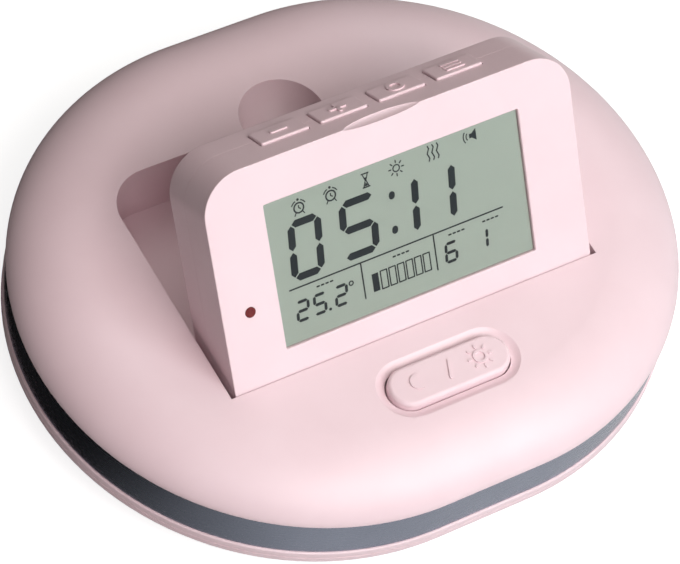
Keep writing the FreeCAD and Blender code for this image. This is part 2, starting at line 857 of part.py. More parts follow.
openings += [rod_z(f"glide_hole_{i}", glide_peg, x, y, (pan_bottom - PAST, pan_floor + PAST))
             for i, (x, y) in enumerate(glides)]

bearing = dim("bearing_margin")
well_gap = dim("well_gap")
for side, tag in ((-1, "left"), (1, "right")):
    standing.append(box(f"{tag}_gear_wall", span(side, gear_wall_in, gear_wall_out),
                        (idler_y - bearing, wheel_y + bearing), (root, wheel_z + dim("gear_wall_rise"))))
    standing.append(box(f"{tag}_outer_post", span(side, outer_post_in, outer_post_out),
                        (wheel_y - bearing, wheel_y + bearing), (root, wheel_z + bearing)))
    standing.append(box(f"{tag}_cradle",
                        span(side, motor_in + dim("cradle_inset"), motor_out - dim("cradle_inset")),
                        (motor_y - dim("cradle_half"), motor_y + dim("cradle_half")),
                        (root, motor_z - dim("cradle_sink"))))
    openings.append(box(f"{tag}_wheel_well", span(side, wheel_in - well_gap, wheel_out + well_gap),
                        (wheel_y - wheel_z - free_gap, wheel_y + wheel_z + free_gap),
                        (pan_bottom - PAST, pan_floor + seam_gap)))
    openings.append(rod_x(f"{tag}_axle_bore", axle_radius + running_gap,
                          span(side, gear_wall_in - PAST, outer_post_out + free_gap), wheel_y, wheel_z))
    openings.append(rod_x(f"{tag}_idler_seat", idler_pin_radius + seat_gap,
                          span(side, gear_wall_in - PAST, gear_wall_out + PAST), idler_y, idler_z))
    openings.append(rod_x(f"{tag}_motor_seat", dim("motor_radius") + seat_gap,
                          span(side, motor_in - PAST, motor_out + PAST), motor_y, motor_z))
node(cut("bottom_shell_body",
         fuse("bottom_solid", cut("bottom_hollow", shell_blank, shell_space), *standing), *openings),
     "bottom_shell")

screws = [fuse(f"case_screw_{i}",
               rod_z(f"case_screw_head_{i}", dim("screw_head_radius"), x, y, (case_head_foot, case_head_top)),
               rod_z(f"case_screw_shank_{i}", screw_radius - seat_gap, x, y, (case_head_top, post_hole_top)))
          for i, (x, y) in enumerate(screw_places)]
node(group("case_screw_set", screws), "case_screws")
node(group("glide_set", [fuse(f"glide_{i}",
                              rod_z(f"glide_foot_{i}", dim("glide_radius"), x, y,
                                    (dim("glide_lift"), pan_bottom)),
                              rod_z(f"glide_peg_{i}", glide_peg - seat_gap, x, y, (pan_bottom, pan_floor)))
                         for i, (x, y) in enumerate(glides)]), "rear_glides")


# Drive of one side: motor, pinion, idler and wheel

ADDENDUM, DEDENDUM = 0.9, 1.2
TOOTH_ROOT_SHARE, TOOTH_TIP_SHARE = 0.30, 0.11


def gear(name, teeth, x, y, z, toward, gap_first):
    """A spur gear along X, with a tooth (or a gap) pointing at the angle toward."""
    count = int(round(size(teeth).value))
    pitch_radius = module.value * count / 2
    tip_radius = pitch_radius + ADDENDUM * module.value
    root_radius = pitch_radius - DEDENDUM * module.value
    step = 2 * math.pi / count
    phase = toward + (step / 2 if gap_first else 0)
    root_half = TOOTH_ROOT_SHARE * step
    tip_half = TOOTH_TIP_SHARE * step
    points = []
    for k in range(count):
        for radius, angle in ((root_radius, -root_half), (tip_radius, -tip_half),
                              (tip_radius, tip_half), (root_radius, root_half)):
            turn = phase + k * step + angle
            points.append(FreeCAD.Vector(0, radius * math.cos(turn), radius * math.sin(turn)))
    face = Part.Face(Part.makePolygon(points + points[:1]))
    blank = doc.addObject("Part::Feature", name)
    blank.Shape = face.extrude(FreeCAD.Vector(size(x[1]).value - size(x[0]).value, 0, 0))
    return place(blank, x[0], y, z)


to_idler = math.atan2((idler_z - wheel_z).value, (idler_y - wheel_y).value)
to_pinion = math.pi
rim_radius = wheel_z - dim("tyre_thickness")
hub_radius = dim("wheel_hub_radius")
dish_radius = rim_radius - dim("wheel_rim")
idler_out = wheel_gear_x + gear_width + seam_gap
idler_pin_out = idler_out + dim("motor_nose")
for side, tag in ((-1, "left"), (1, "right")):
    can = rod_x(f"{tag}_motor_can", dim("motor_radius"), span(side, motor_in, motor_out), motor_y, motor_z)
    nose = rod_x(f"{tag}_motor_nose", dim("motor_nose_radius"),
                 span(side, motor_in - dim("motor_nose"), motor_in), motor_y, motor_z)
    bore = rod_x(f"{tag}_motor_bore", shaft_radius + running_gap,
                 span(side, motor_in - PAST, motor_in + dim("shaft_depth") + free_gap), motor_y, motor_z)
    node(cut(f"{tag}_motor_body", fuse(f"{tag}_motor_solid", can, nose), bore), f"{tag}_motor")
    node(rod_x(f"{tag}_shaft_rod", shaft_radius,
               span(side, large_gear_x - seam_gap, motor_in + dim("shaft_depth")),
               motor_y, motor_z), f"{tag}_motor_shaft")
    node(cut(f"{tag}_pinion_body",
             gear(f"{tag}_pinion_gear", dim("pinion_teeth"),
                  span(side, large_gear_x, large_gear_x + gear_width),
                  motor_y, motor_z, to_pinion + math.pi, True),
             rod_x(f"{tag}_pinion_bore", shaft_radius + seat_gap,
                   span(side, large_gear_x - PAST, large_gear_x + gear_width + PAST), motor_y, motor_z)),
         f"{tag}_pinion")
    node(rod_x(f"{tag}_idler_pin_rod", idler_pin_radius, span(side, gear_wall_in, idler_pin_out),
               idler_y, idler_z), f"{tag}_idler_pin")
    node(cut(f"{tag}_idler_body",
             fuse(f"{tag}_idler_solid",
                  gear(f"{tag}_idler_large", dim("idler_large_teeth"),
                       span(side, large_gear_x, large_gear_x + gear_width), idler_y, idler_z, to_pinion,
                       False),
                  gear(f"{tag}_idler_small", dim("idler_small_teeth"),
                       span(side, large_gear_x + gear_width, idler_out),
                       idler_y, idler_z, to_idler + math.pi, True)),
             rod_x(f"{tag}_idler_bore", idler_pin_radius + running_gap,
                   span(side, large_gear_x - PAST, wheel_in), idler_y, idler_z)),
         f"{tag}_idler")
    node(cut(f"{tag}_wheel_body",
             fuse(f"{tag}_wheel_solid",
                  gear(f"{tag}_wheel_gear", dim("wheel_teeth"),
                       span(side, wheel_gear_x, wheel_gear_x + gear_width), wheel_y, wheel_z, to_idler,
                       False),
                  rod_x(f"{tag}_wheel_neck", hub_radius,
                        span(side, wheel_gear_x + gear_width, wheel_out + dim("hub_proud")), wheel_y,
                        wheel_z),
                  cut(f"{tag}_wheel_disc",
                      rod_x(f"{tag}_wheel_rim", rim_radius, span(side, wheel_in, wheel_out), wheel_y,
                            wheel_z),
                      rod_x(f"{tag}_wheel_dish", dish_radius,
                            span(side, wheel_in + dim("wheel_dish"), wheel_out + PAST), wheel_y, wheel_z),
                      rod_x(f"{tag}_wheel_back", dish_radius,
                            span(side, wheel_in - PAST, wheel_in + dim("wheel_rim")), wheel_y, wheel_z))),
             rod_x(f"{tag}_wheel_bore", axle_radius + seat_gap,
                   span(side, wheel_gear_x - PAST, wheel_out + 2 * PAST), wheel_y, wheel_z)),
         f"{tag}_wheel")
    node(cut(f"{tag}_tyre_body",
             rod_x(f"{tag}_tyre_outer", wheel_z, span(side, wheel_in, wheel_out), wheel_y, wheel_z),
             rod_x(f"{tag}_tyre_inner", rim_radius, span(side, wheel_in - PAST, wheel_out + PAST), wheel_y,
                   wheel_z)),
         f"{tag}_tyre")
    node(rod_x(f"{tag}_axle_rod", axle_radius, span(side, gear_wall_in, outer_post_out), wheel_y, wheel_z),
         f"{tag}_axle")


# Front caster: a fork that swivels about a post, and its small wheel

caster_wheel_y = caster_y + dim("caster_trail")
caster_wheel_z = dim("caster_wheel_radius")
caster_half = dim("caster_wheel_width") / 2
cheek_in = caster_half + free_gap
cheek_out = cheek_in + dim("cheek_thickness")
pin_radius = dim("caster_pin_radius")
cheek_half = dim("cheek_half")
cheeks = [box(f"cheek_{i}", span(side, cheek_in, cheek_out),
              (caster_wheel_y - cheek_half, caster_wheel_y + cheek_half),
              (caster_wheel_z - dim("cheek_drop"), fork_low + seam_gap)) for i, side in enumerate((-1, 1))]
fork = fuse("fork_solid", *cheeks,
            box("fork_plate", (-cheek_out, cheek_out),
                (caster_y - dim("fork_front"), caster_wheel_y + cheek_half),
                (fork_low, fork_high)),
            rod_z("fork_post", post_radius, 0, caster_y, (fork_high - BITE, socket_top + free_gap)),
            rod_z("fork_head", post_radius + dim("fork_head"), 0, caster_y,
                  (socket_top + free_gap, socket_top + free_gap + dim("fork_head_height"))))
node(cut("fork_body", fork, rod_x("fork_pin_hole", pin_radius + seat_gap,
                                  (-cheek_out - PAST, cheek_out + PAST),
                                  caster_wheel_y, caster_wheel_z)), "caster_fork")
node(cut("caster_wheel_body",
         rod_x("caster_wheel_disc", dim("caster_wheel_radius"), (-caster_half, caster_half),
               caster_wheel_y, caster_wheel_z),
         rod_x("caster_wheel_bore", pin_radius + running_gap, (-caster_half - PAST, caster_half + PAST),
               caster_wheel_y, caster_wheel_z)), "caster_wheel")
node(rod_x("caster_pin_rod", pin_radius, (-cheek_out, cheek_out), caster_wheel_y, caster_wheel_z),
     "caster_pin")


# Batteries with their contacts, and the hinged door under them

cells = []
springs = []
plates = []
plate_in = bay_half - dim("contact_thickness")
stud = dim("battery_stud")
spring_radius = dim("spring_radius")
plate_half_y = dim("contact_half_width")
plate_half_z = dim("contact_half_height")
for i, side in enumerate((1, -1)):
    y = row_y[i]
    cell_front = plate_in - seam_gap
    cell_back = cell_front - dim("battery_length")
    cells.append(fuse(f"cell_{i}",
                      rod_x(f"cell_can_{i}", battery_radius, span(side, cell_back, cell_front - stud), y,
                            battery_z),
                      rod_x(f"cell_stud_{i}", dim("battery_stud_radius"),
                            span(side, cell_front - stud, cell_front), y, battery_z)))
    spring_far = span(-side, -cell_back + seam_gap, plate_in)
    springs.append(cut(f"spring_{i}",
                       rod_x(f"spring_outer_{i}", spring_radius, spring_far, y, battery_z),
                       rod_x(f"spring_inner_{i}", spring_radius - dim("spring_wall"),
                             (spring_far[0] - 1, spring_far[1] + 1),
                             y, battery_z)))
    for k in (-1, 1):
        plates.append(box(f"plate_{i}_{k + 1}", span(k, plate_in, bay_half),
                          (y - plate_half_y, y + plate_half_y),
                          (battery_z - plate_half_z, battery_z + plate_half_z)))
node(group("cell_set", cells), "battery_cells")
node(group("spring_set", springs), "battery_springs")
node(group("plate_set", plates), "battery_plates")

door_back = bay_back - free_gap
door_plate = fuse("door_plate",
                  box("door_sheet", (-door_half, door_half), (door_hinge_y, door_back),
                      (pan_bottom, door_top)),
                  rod_x("door_knuckle", door_hinge_radius, (-door_half, door_half), door_hinge_y,
                        door_hinge_z),
                  rod_x("door_pins", door_pin_radius, (-door_pin_end, door_pin_end), door_hinge_y,
                        door_hinge_z))
node(cut("door_body", door_plate,
         box("door_grip", (-dim("door_grip_half"), dim("door_grip_half")),
             (door_back - dim("bay_rib") - dim("door_grip_width"), door_back - dim("bay_rib")),
             (pan_bottom - PAST, pan_bottom + dim("door_grip_depth")))),
     "battery_door")


# Electronics in the base

node(cut("main_board_body",
         box("main_board_sheet", (-board_half_x, board_half_x),
             (board_y - board_half_y, board_y + board_half_y),
             (board_low, board_high)),
         *[rod_z(f"board_hole_{i}", dim("standoff_hole"), x, y, (board_low - PAST, board_high + PAST))
           for i, (x, y) in enumerate(standoffs)]), "main_board")
chip_half = dim("chip_half")
node(box("chip_block", (-chip_half, chip_half), (board_y - chip_half, board_y + chip_half),
         (board_high, board_high + dim("chip_height"))), "controller_chip")
capacitor_half = dim("capacitor_pitch") / 2
node(group("capacitor_set",
           [rod_z(f"capacitor_{i}", dim("capacitor_radius"), -dim("capacitor_x"),
                  board_y + side * capacitor_half,
                  (board_high, board_high + dim("capacitor_height"))) for i, side in enumerate((-1, 1))]),
     "capacitors")
crystal_half_x = dim("crystal_length") / 2
crystal_half_y = dim("crystal_width") / 2
node(box("crystal_can", (dim("crystal_x") - crystal_half_x, dim("crystal_x") + crystal_half_x),
         (board_y - crystal_half_y, board_y + crystal_half_y),
         (board_high, board_high + dim("crystal_height"))), "crystal")

basket_top = pan_floor + dim("speaker_flange")
basket_high = basket_top + dim("speaker_back")
basket_bore = speaker_radius - dim("speaker_flange")
cone_foot = pan_floor + dim("knob_neck")
node(cut("basket_body",
         fuse("basket_solid",
              rod_z("basket_flange", speaker_radius, speaker_x, speaker_y, (pan_floor, basket_top)),
              rod_z("basket_back", speaker_radius - dim("speaker_frame"), speaker_x, speaker_y,
                    (basket_top, basket_high))),
         rod_z("basket_bore", basket_bore, speaker_x, speaker_y,
               (pan_floor - PAST, basket_top - dim("cone_thickness"))),
         rod_z("basket_throat", speaker_radius - dim("speaker_throat"), speaker_x, speaker_y,
               (pan_floor, basket_high - 2 * dim("cone_thickness")))),
     "speaker_basket")
node(rod_z("cone_sheet", basket_bore - seam_gap, speaker_x, speaker_y,
           (cone_foot, cone_foot + dim("cone_thickness"))), "speaker_cone")
node(rod_z("magnet_disc", speaker_radius / 2, speaker_x, speaker_y,
           (basket_high, basket_high + dim("magnet_height"))), "speaker_magnet")

stem_top = pan_floor + 2 * dim("knob_half_width") - dim("knob_neck")
switch_box = box("switch_box", (switch_x - dim("switch_half_length"), switch_x + dim("switch_half_length")),
                 (switch_y - dim("switch_half_width"), switch_y + dim("switch_half_width")),
                 (pan_floor, pan_floor + dim("switch_height")))
neck_half_x = knob_half_x - dim("knob_neck")
neck_half_y = knob_half_y - dim("knob_neck")
switch_slot = box("switch_box_slot",
                  (switch_x - dim("knob_rest") - neck_half_x - free_gap,
                   switch_x + dim("knob_rest") + neck_half_x + free_gap),
                  (switch_y - neck_half_y - free_gap, switch_y + neck_half_y + free_gap),
                  (pan_floor - PAST, stem_top + free_gap))
node(cut("switch_body", switch_box, switch_slot), "power_switch")
knob_x = switch_x - dim("knob_rest")
node(fuse("knob_body",
          box("knob_head", (knob_x - knob_half_x, knob_x + knob_half_x),
              (switch_y - knob_half_y, switch_y + knob_half_y),
              (pan_bottom + dim("head_gap"), pan_floor - free_gap)),
          box("knob_stem", (knob_x - neck_half_x, knob_x + neck_half_x),
              (switch_y - neck_half_y, switch_y + neck_half_y),
              (pan_floor - free_gap, stem_top))), "power_knob")


# Snooze button with its guides, small board and switch

cap_top = plateau + dim("snooze_proud")
cap_low = cap_top - dim("snooze_cap")
flange_top = crown_under - 2 * free_gap
flange_low = flange_top - dim("snooze_flange")
flange_margin = 2 * dim("snooze_flange_margin")
board_under = snooze_board_top - dim("board_thickness")
guide_x = dim("snooze_guide_x")
guide_radius = dim("snooze_guide_radius")
guides = [rod_z(f"snooze_guide_{i}", guide_radius, x, snooze_y, (board_under - 0.4, flange_low + 0.2))
          for i, x in enumerate((-guide_x, guide_x))]
snooze_cap = body("snooze_cap")
cap_pad = pad(snooze_cap, stadium(draw(snooze_cap, "snooze_cap_outline", offset=cap_low),
                                  dim("snooze_length"),
                                  dim("snooze_width"), 0, snooze_y), cap_top - cap_low)
fillet(snooze_cap, cap_pad, dim("snooze_round"), lambda p: near(p.z, cap_top))
snooze_flange = body("snooze_flange")
pad(snooze_flange, stadium(draw(snooze_flange, "snooze_flange_outline", offset=flange_low),
                           dim("snooze_length") + flange_margin, dim("snooze_width") + flange_margin,
                           0, snooze_y),
    flange_top - flange_low)
switch_top = snooze_board_top + dim("snooze_switch_height")
snooze_switch_half = dim("snooze_switch_half")
snooze_board_half = dim("snooze_board_half_depth")
node(fuse("snooze_button_body", snooze_cap, snooze_flange, *guides,
          rod_z("snooze_stem", dim("snooze_stem_radius"), 0, snooze_y,
                (switch_top + dim("snooze_travel") + seam_gap, flange_low + seam_gap))),
     "snooze_button")
node(cut("snooze_board_body",
         box("snooze_board_sheet",
             (-snooze_board_x - dim("snooze_post_radius"), snooze_board_x + dim("snooze_post_radius")),
             (snooze_y - snooze_board_half, snooze_y + snooze_board_half), (board_under, snooze_board_top)),
         *[rod_z(f"snooze_board_hole_{i}", guide_radius + seam_gap, x, snooze_y,
                 (board_under - PAST, snooze_board_top + PAST))
           for i, x in enumerate((-guide_x, guide_x))]), "snooze_board")
node(box("snooze_switch_block", (-snooze_switch_half, snooze_switch_half),
         (snooze_y - snooze_switch_half, snooze_y + snooze_switch_half), (snooze_board_top, switch_top)),
     "snooze_switch")


# Display panel, drawn flat about the hinge axis and tilted up

def section(name, points, centres, half):
    """A solid along X whose section is drawn in (along the panel, toward its face)."""
    owner = body(name)
    sketch = draw(owner, name + "_section", "YZ_Plane", -half)
    loop(sketch, points, centres)
    pad(owner, sketch, 2 * half)
    return owner


def panel_block(name, half, low_v, high_v, low_w, high_w, corner):
    """A block with its two top corners rounded, seen from the face."""
    owner = body(name)
    half, low_v, high_v, corner = size(half), size(low_v), size(high_v), size(corner)
    sketch = draw(owner, name + "_outline", offset=low_w)
    loop(sketch,
         [(-half, low_v), (half, low_v), (half, high_v - corner), (half - corner, high_v),
          (corner - half, high_v), (-half, high_v - corner)],
         {2: (half - corner, high_v - corner), 4: (corner - half, high_v - corner)})
    pad(owner, sketch, size(high_w) - low_w)
    return owner


back_sweep = -panel_back + seam_gap
back_foot = (back_sweep * back_sweep - barrel * barrel).root()
back_toe = (back_sweep * back_sweep - panel_back * panel_back).root()
profile = section("panel_section",
                  [(0, panel_front), (-barrel, 0), (-barrel, -back_foot), (-back_toe, panel_back),
                   (panel_top, panel_back), (panel_top, panel_front)],
                  {0: (size(0), size(0)), 2: (size(0), size(0))}, panel_half)
panel_limit = panel_block("panel_limit", panel_half, -barrel - PAST, panel_top, panel_back, panel_front,
                          dim("panel_corner"))
panel_solid = common("panel_solid", profile, panel_limit)
half_seam = seam_gap / 2
front_half = common("panel_front_half", panel_solid,
                    box("front_limit", (-panel_half - PAST, panel_half + PAST),
                        (-barrel - PAST, panel_top + PAST),
                        (parting + half_seam, panel_front + PAST)))
back_half = common("panel_back_half", panel_solid,
                   box("back_limit", (-panel_half - PAST, panel_half + PAST),
                       (-barrel - PAST, panel_top + PAST),
                       (panel_back - PAST, parting - half_seam)))
room_corner = dim("panel_corner") - panel_wall
front_room = panel_block("front_room", panel_half - panel_wall, dim("barrel_solid"), inner_top,
                         parting - PAST, inner_front, room_corner)
back_room = panel_block("back_room", panel_half - panel_wall, dim("barrel_solid"), inner_top,
                        panel_back + panel_wall, parting + PAST, room_corner)

window_half = dim("window_width") / 2
window_low = dim("window_start")
window_high = window_low + dim("window_height")
window_hole = box("window_hole", (-window_half, window_half), (window_low, window_high),
                  (inner_front - PAST, panel_front + PAST))
indicator_x = -dim("indicator_x")
indicator_v = dim("indicator_v")
indicator_radius = dim("indicator_radius")
indicator_hole = rod_z("indicator_hole", indicator_radius + running_gap, indicator_x, indicator_v,
                       (inner_front - PAST, panel_front + PAST))
post_x = panel_half - dim("panel_post_side")
post_low = dim("panel_post_low")
post_high = panel_top - dim("panel_post_top")
post_hole_roof = inner_front - dim("panel_post_roof")
panel_posts = [(-post_x, post_low), (post_x, post_low), (-post_x, post_high), (post_x, post_high)]
front_posts = [rod_z(f"panel_post_{i}", screw_post_radius, x, v, (parting + half_seam, inner_front + BITE))
               for i, (x, v) in enumerate(panel_posts)]
panel_post_holes = [rod_z(f"panel_post_hole_{i}", screw_radius, x, v, (parting - PAST, post_hole_roof))
                    for i, (x, v) in enumerate(panel_posts)]
pin_start = panel_half - dim("hinge_pin_depth")
pin_end = bushing_end - dim("end_gap")
pin_seats = [rod_x(f"pin_seat_{i}", dim("hinge_pin_radius") + seat_gap,
                   span(side, pin_start, panel_half + PAST), 0, 0)
             for i, side in enumerate((-1, 1))]

# Keys stand in openings that both halves share
key_x = [dim("key_first_x") + dim("key_pitch") * k for k in range(int(dim("key_count").value))]
key_half = dim("key_width") / 2
key_half_w = dim("key_depth") / 2
key_gap = dim("key_gap")
key_openings = [box(f"key_opening_{i}", (x - key_half - key_gap, x + key_half + key_gap),
                    (inner_top - PAST, panel_top + PAST),
                    (parting - key_half_w - key_gap, parting + key_half_w + key_gap))
                for i, x in enumerate(key_x)]

node(tilted(cut("front_shell_body",
                fuse("front_shell_solid", cut("front_shell_hollow", front_half, front_room), *front_posts),
                window_hole, indicator_hole, *panel_post_holes, *pin_seats, *key_openings)),
     "display_front_shell")

screw_seat = panel_back + dim("screw_head_height") + dim("screw_sink")
back_posts = [rod_z(f"back_post_{i}", screw_post_radius + dim("panel_post_extra"), x, v,
                    (panel_back + BITE, parting - half_seam))
              for i, (x, v) in enumerate(panel_posts)]
back_holes = [rod_z(f"back_hole_{i}", screw_radius + dim("shank_gap"), x, v,
                    (panel_back - PAST, parting + PAST))
              for i, (x, v) in enumerate(panel_posts)]
back_head_seats = [rod_z(f"back_head_seat_{i}", dim("screw_head_radius") + dim("head_gap"), x, v,
                         (panel_back - PAST, screw_seat))
                   for i, (x, v) in enumerate(panel_posts)]
node(tilted(cut("back_shell_body",
                fuse("back_shell_solid", cut("back_shell_hollow", back_half, back_room), *back_posts),
                *back_holes, *back_head_seats, *key_openings)), "display_back_shell")

lens_front = panel_front - dim("lens_recess")
lens_back = lens_front - dim("lens_thickness")
lens_gap = dim("lens_gap")
node(tilted(box("lens_sheet", (-window_half + lens_gap, window_half - lens_gap),
                (window_low + lens_gap, window_high - lens_gap), (lens_back, lens_front))), "display_window")
cell_half = window_half + dim("cell_margin")
cell_low = window_low - dim("cell_margin")
cell_high = window_high + dim("cell_margin")
cell_front = inner_front - seam_gap
cell_back = cell_front - dim("cell_thickness")
light_back = cell_back - dim("backlight_thickness")
board_front = light_back - 2 * seam_gap
board_back = board_front - dim("board_thickness")
board_half_wide = panel_half - panel_wall - dim("board_side_gap")
node(tilted(box("lcd_cell_block", (-cell_half, cell_half), (cell_low, cell_high), (cell_back, cell_front))),
     "lcd_cell")
node(tilted(box("backlight_block", (-cell_half, cell_half), (cell_low, cell_high), (light_back, cell_back))),
     "backlight")
node(tilted(fuse("display_board_body",
                 box("display_board_tall", (-cell_half, cell_half),
                     (cell_low, cell_high + dim("board_margin")),
                     (board_back, board_front)),
                 box("display_board_wide", (-board_half_wide, board_half_wide),
                     (dim("board_wing_low"), dim("board_wing_high")), (board_back, board_front)))),
     "display_board")

flange_front = inner_front - seam_gap
flange_back = flange_front - dim("indicator_flange")
led_half = dim("indicator_led_half")
led_front = board_front + dim("indicator_led_height")
node(tilted(fuse("indicator_lens_body",
                 rod_z("indicator_stem", indicator_radius, indicator_x, indicator_v,
                       (led_front + seam_gap, panel_front + seam_gap)),
                 rod_z("indicator_flange", indicator_radius + dim("indicator_flange"), indicator_x,
                       indicator_v,
                       (flange_back, flange_front)))), "indicator_lens")
node(tilted(box("indicator_led_block", (indicator_x - led_half, indicator_x + led_half),
                (indicator_v - led_half, indicator_v + led_half), (board_front, led_front))), "indicator_led")

key_names = ["key_minus", "key_plus", "key_ring", "key_menu"]
key_flange_top = inner_top - free_gap
key_flange_low = key_flange_top - dim("key_flange")
key_stem_low = key_flange_low - dim("key_stem_length")
key_switch_top = key_stem_low - dim("key_travel") - key_gap
flange_half = key_half + dim("key_flange_margin")
flange_half_w = key_half_w + dim("key_flange_margin")
switch_half = dim("key_switch_half")
for x, name in zip(key_x, key_names):
    cap = box(f"{name}_cap", (x - key_half, x + key_half),
              (key_flange_top - seam_gap, panel_top + dim("key_proud")),
              (parting - key_half_w, parting + key_half_w))
    key_flange = box(f"{name}_flange", (x - flange_half, x + flange_half), (key_flange_low, key_flange_top),
                     (parting - flange_half_w, parting + flange_half_w))
    stem = rod_y(f"{name}_stem", dim("key_stem_radius"), x, (key_stem_low, key_flange_low + seam_gap),
                 parting - dim("key_stem_back"))
    node(tilted(fuse(f"{name}_body", cap, key_flange, stem)), name)
node(tilted(group("key_switch_set",
                  [box(f"key_switch_{i}", (x - switch_half, x + switch_half),
                       (key_switch_top - dim("key_switch_height"), key_switch_top),
                       (board_back - dim("key_switch_depth"), board_back)) for i, x in enumerate(key_x)])),
     "key_switches")

node(tilted(group("panel_screw_set",
                  [fuse(f"panel_screw_{i}",
                        rod_z(f"panel_screw_head_{i}", dim("screw_head_radius"), x, v,
                              (screw_seat - dim("screw_head_height"), screw_seat)),
                        rod_z(f"panel_screw_shank_{i}", screw_radius - seat_gap, x, v,
                              (screw_seat, post_hole_roof - dim("end_gap"))))
                   for i, (x, v) in enumerate(panel_posts)])), "display_screws")
node(tilted(group("hinge_pin_set",
                  [rod_x(f"hinge_pin_{i}", dim("hinge_pin_radius"), span(side, pin_start, pin_end), 0, 0)
                   for i, side in enumerate((-1, 1))])), "hinge_pins")
node(group("bushing_set",
           [cut(f"bushing_{i}",
                rod_x(f"bushing_outer_{i}", bushing_radius, span(side, pocket_half, bushing_end), hinge_y,
                      hinge_z),
                rod_x(f"bushing_bore_{i}", dim("hinge_pin_radius") + running_gap,
                      span(side, pocket_half - PAST, bushing_end + PAST), hinge_y, hinge_z))
            for i, side in enumerate((-1, 1))]), "hinge_bushings")


# Recompute, check every object and write one file per sub-part

doc.recompute()
broken = [obj.Label for obj in doc.Objects if "Invalid" in obj.State or "Error" in obj.State]
if broken:
    raise RuntimeError("objects that failed: " + ", ".join(broken))
os.makedirs("parts", exist_ok=True)
for sub_part in nodes:
    shape = sub_part.Shape
    if shape.isNull() or not shape.isValid() or not shape.Solids:
        raise RuntimeError("no valid solid: " + sub_part.Label)
for sub_part in nodes:
    sub_part.Shape.exportStep(f"parts/{sub_part.Label}.step")
print(len(nodes), "sub-parts written")
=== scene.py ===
"""Runaway alarm clock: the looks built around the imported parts.

Frame: origin on the floor under the middle of the base, +X along the display's hinge,
+Y to the back, +Z up. Sizes in this file are millimetres until a mesh is made.
The display's own pieces are drawn lying flat about the hinge axis, as (x, v, w): v runs
along the panel from the axis, w toward its face. panel_place then stands them up.
"""
import json
import math

import bmesh
import bpy
from mathutils import Matrix, Vector


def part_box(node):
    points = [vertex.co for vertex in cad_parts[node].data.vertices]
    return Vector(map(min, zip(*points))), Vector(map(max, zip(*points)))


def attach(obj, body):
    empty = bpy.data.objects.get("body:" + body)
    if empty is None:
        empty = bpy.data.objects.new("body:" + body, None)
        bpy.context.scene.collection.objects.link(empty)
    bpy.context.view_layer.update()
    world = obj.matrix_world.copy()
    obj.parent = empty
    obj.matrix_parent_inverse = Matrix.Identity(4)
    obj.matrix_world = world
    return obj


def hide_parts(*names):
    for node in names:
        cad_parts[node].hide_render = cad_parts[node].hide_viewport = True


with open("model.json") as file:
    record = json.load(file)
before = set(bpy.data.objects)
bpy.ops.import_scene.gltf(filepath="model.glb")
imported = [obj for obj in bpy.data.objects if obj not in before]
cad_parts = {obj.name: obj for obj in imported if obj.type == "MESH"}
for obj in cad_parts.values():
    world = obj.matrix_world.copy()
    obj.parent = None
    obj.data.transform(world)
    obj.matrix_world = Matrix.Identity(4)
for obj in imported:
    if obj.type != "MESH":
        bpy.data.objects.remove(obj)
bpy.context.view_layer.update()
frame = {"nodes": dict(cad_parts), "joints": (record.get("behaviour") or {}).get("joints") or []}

MM = 0.001


def extent(node):
    """A node's lowest and highest corner, in millimetres."""
    low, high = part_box(node)
    return low / MM, high / MM


# Base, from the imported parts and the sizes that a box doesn't give

top_high = extent("top_shell")[1]
band_low, band_high = extent("rim_band")
bottom_low = extent("bottom_shell")[0]
half_width = top_high.x
half_depth = top_high.y
plateau = top_high.z
seam = 0.1
band_bottom = band_low.z - seam
band_top = band_high.z + seam
edge_top = band_top + 0.6
shoulder_rise = plateau - edge_top
shoulder_run = 16.0
shoulder_fullness = 1.6
wall = 1.8
skirt_inset = 1.8
skirt_foot = 14.1
rim_edge = 0.45
plateau_edge = 0.55

# Display panel: hinge axis and the flat section about it

fold = [joint for joint in frame["joints"] if joint["name"] == "panel_fold"][0]
tilt = -math.radians(fold["range_deg"][0])
hinge = Vector(fold["pos_m"]) / MM
panel_place = Matrix.Translation(hinge) @ Matrix.Rotation(tilt, 4, "X")
panel_half = extent("display_front_shell")[1].x
panel_front = 6.0
panel_back = -9.1
panel_top = 49.0
panel_corner = 8.5
panel_edge = 0.85
parting = -2.45
parting_gap = 0.05
parting_edge = 0.2
barrel = panel_front
room_low = 3.6
window_half = 28.55
window_low = 8.6
window_high = 39.9
window_edge = 0.32
lens_front = panel_front - 0.3
display_screw_spots = [(x, v) for v in (9.0, 38.5) for x in (-35.6, 35.6)]

# Pocket, dimple and snooze opening in the top shell, and how far a cutting tool reaches past its cut

rim_y = hinge.y - (barrel + 0.3 - barrel * math.cos(tilt)) / math.sin(tilt)
pocket_half = panel_half + 1.05
pocket_back = rim_y + 54.7
pocket_floor = plateau - 15.5
pocket_corner = 9.0
cove = barrel + 0.3
dimple_radius = 9.6
dimple_centre = Vector((0.0, pocket_back + 0.5, plateau + 3.0))
snooze_y = rim_y - 12.1
snooze_length = 27.0
snooze_width = 9.0
hole_margin = 0.3
dish_run = 1.9
dish_drop = 0.9
past = 5.0


# Mesh tools: every skin is a bmesh in millimetres

def ringed(loops, caps=True):
    """A closed skin through loops with the same number of points, capped or joined end to end."""
    bm = bmesh.new()
    rings = [[bm.verts.new(point) for point in loop] for loop in loops]
    pairs = list(zip(rings, rings[1:]))
    if not caps:
        pairs.append((rings[-1], rings[0]))
    for low, high in pairs:
        for i in range(len(low)):
            j = (i + 1) % len(low)
            bm.faces.new((low[i], low[j], high[j], high[i]))
    if caps:
        bm.faces.new(rings[0][::-1])
        bm.faces.new(rings[-1])
    bmesh.ops.recalc_face_normals(bm, faces=bm.faces)
    return bm


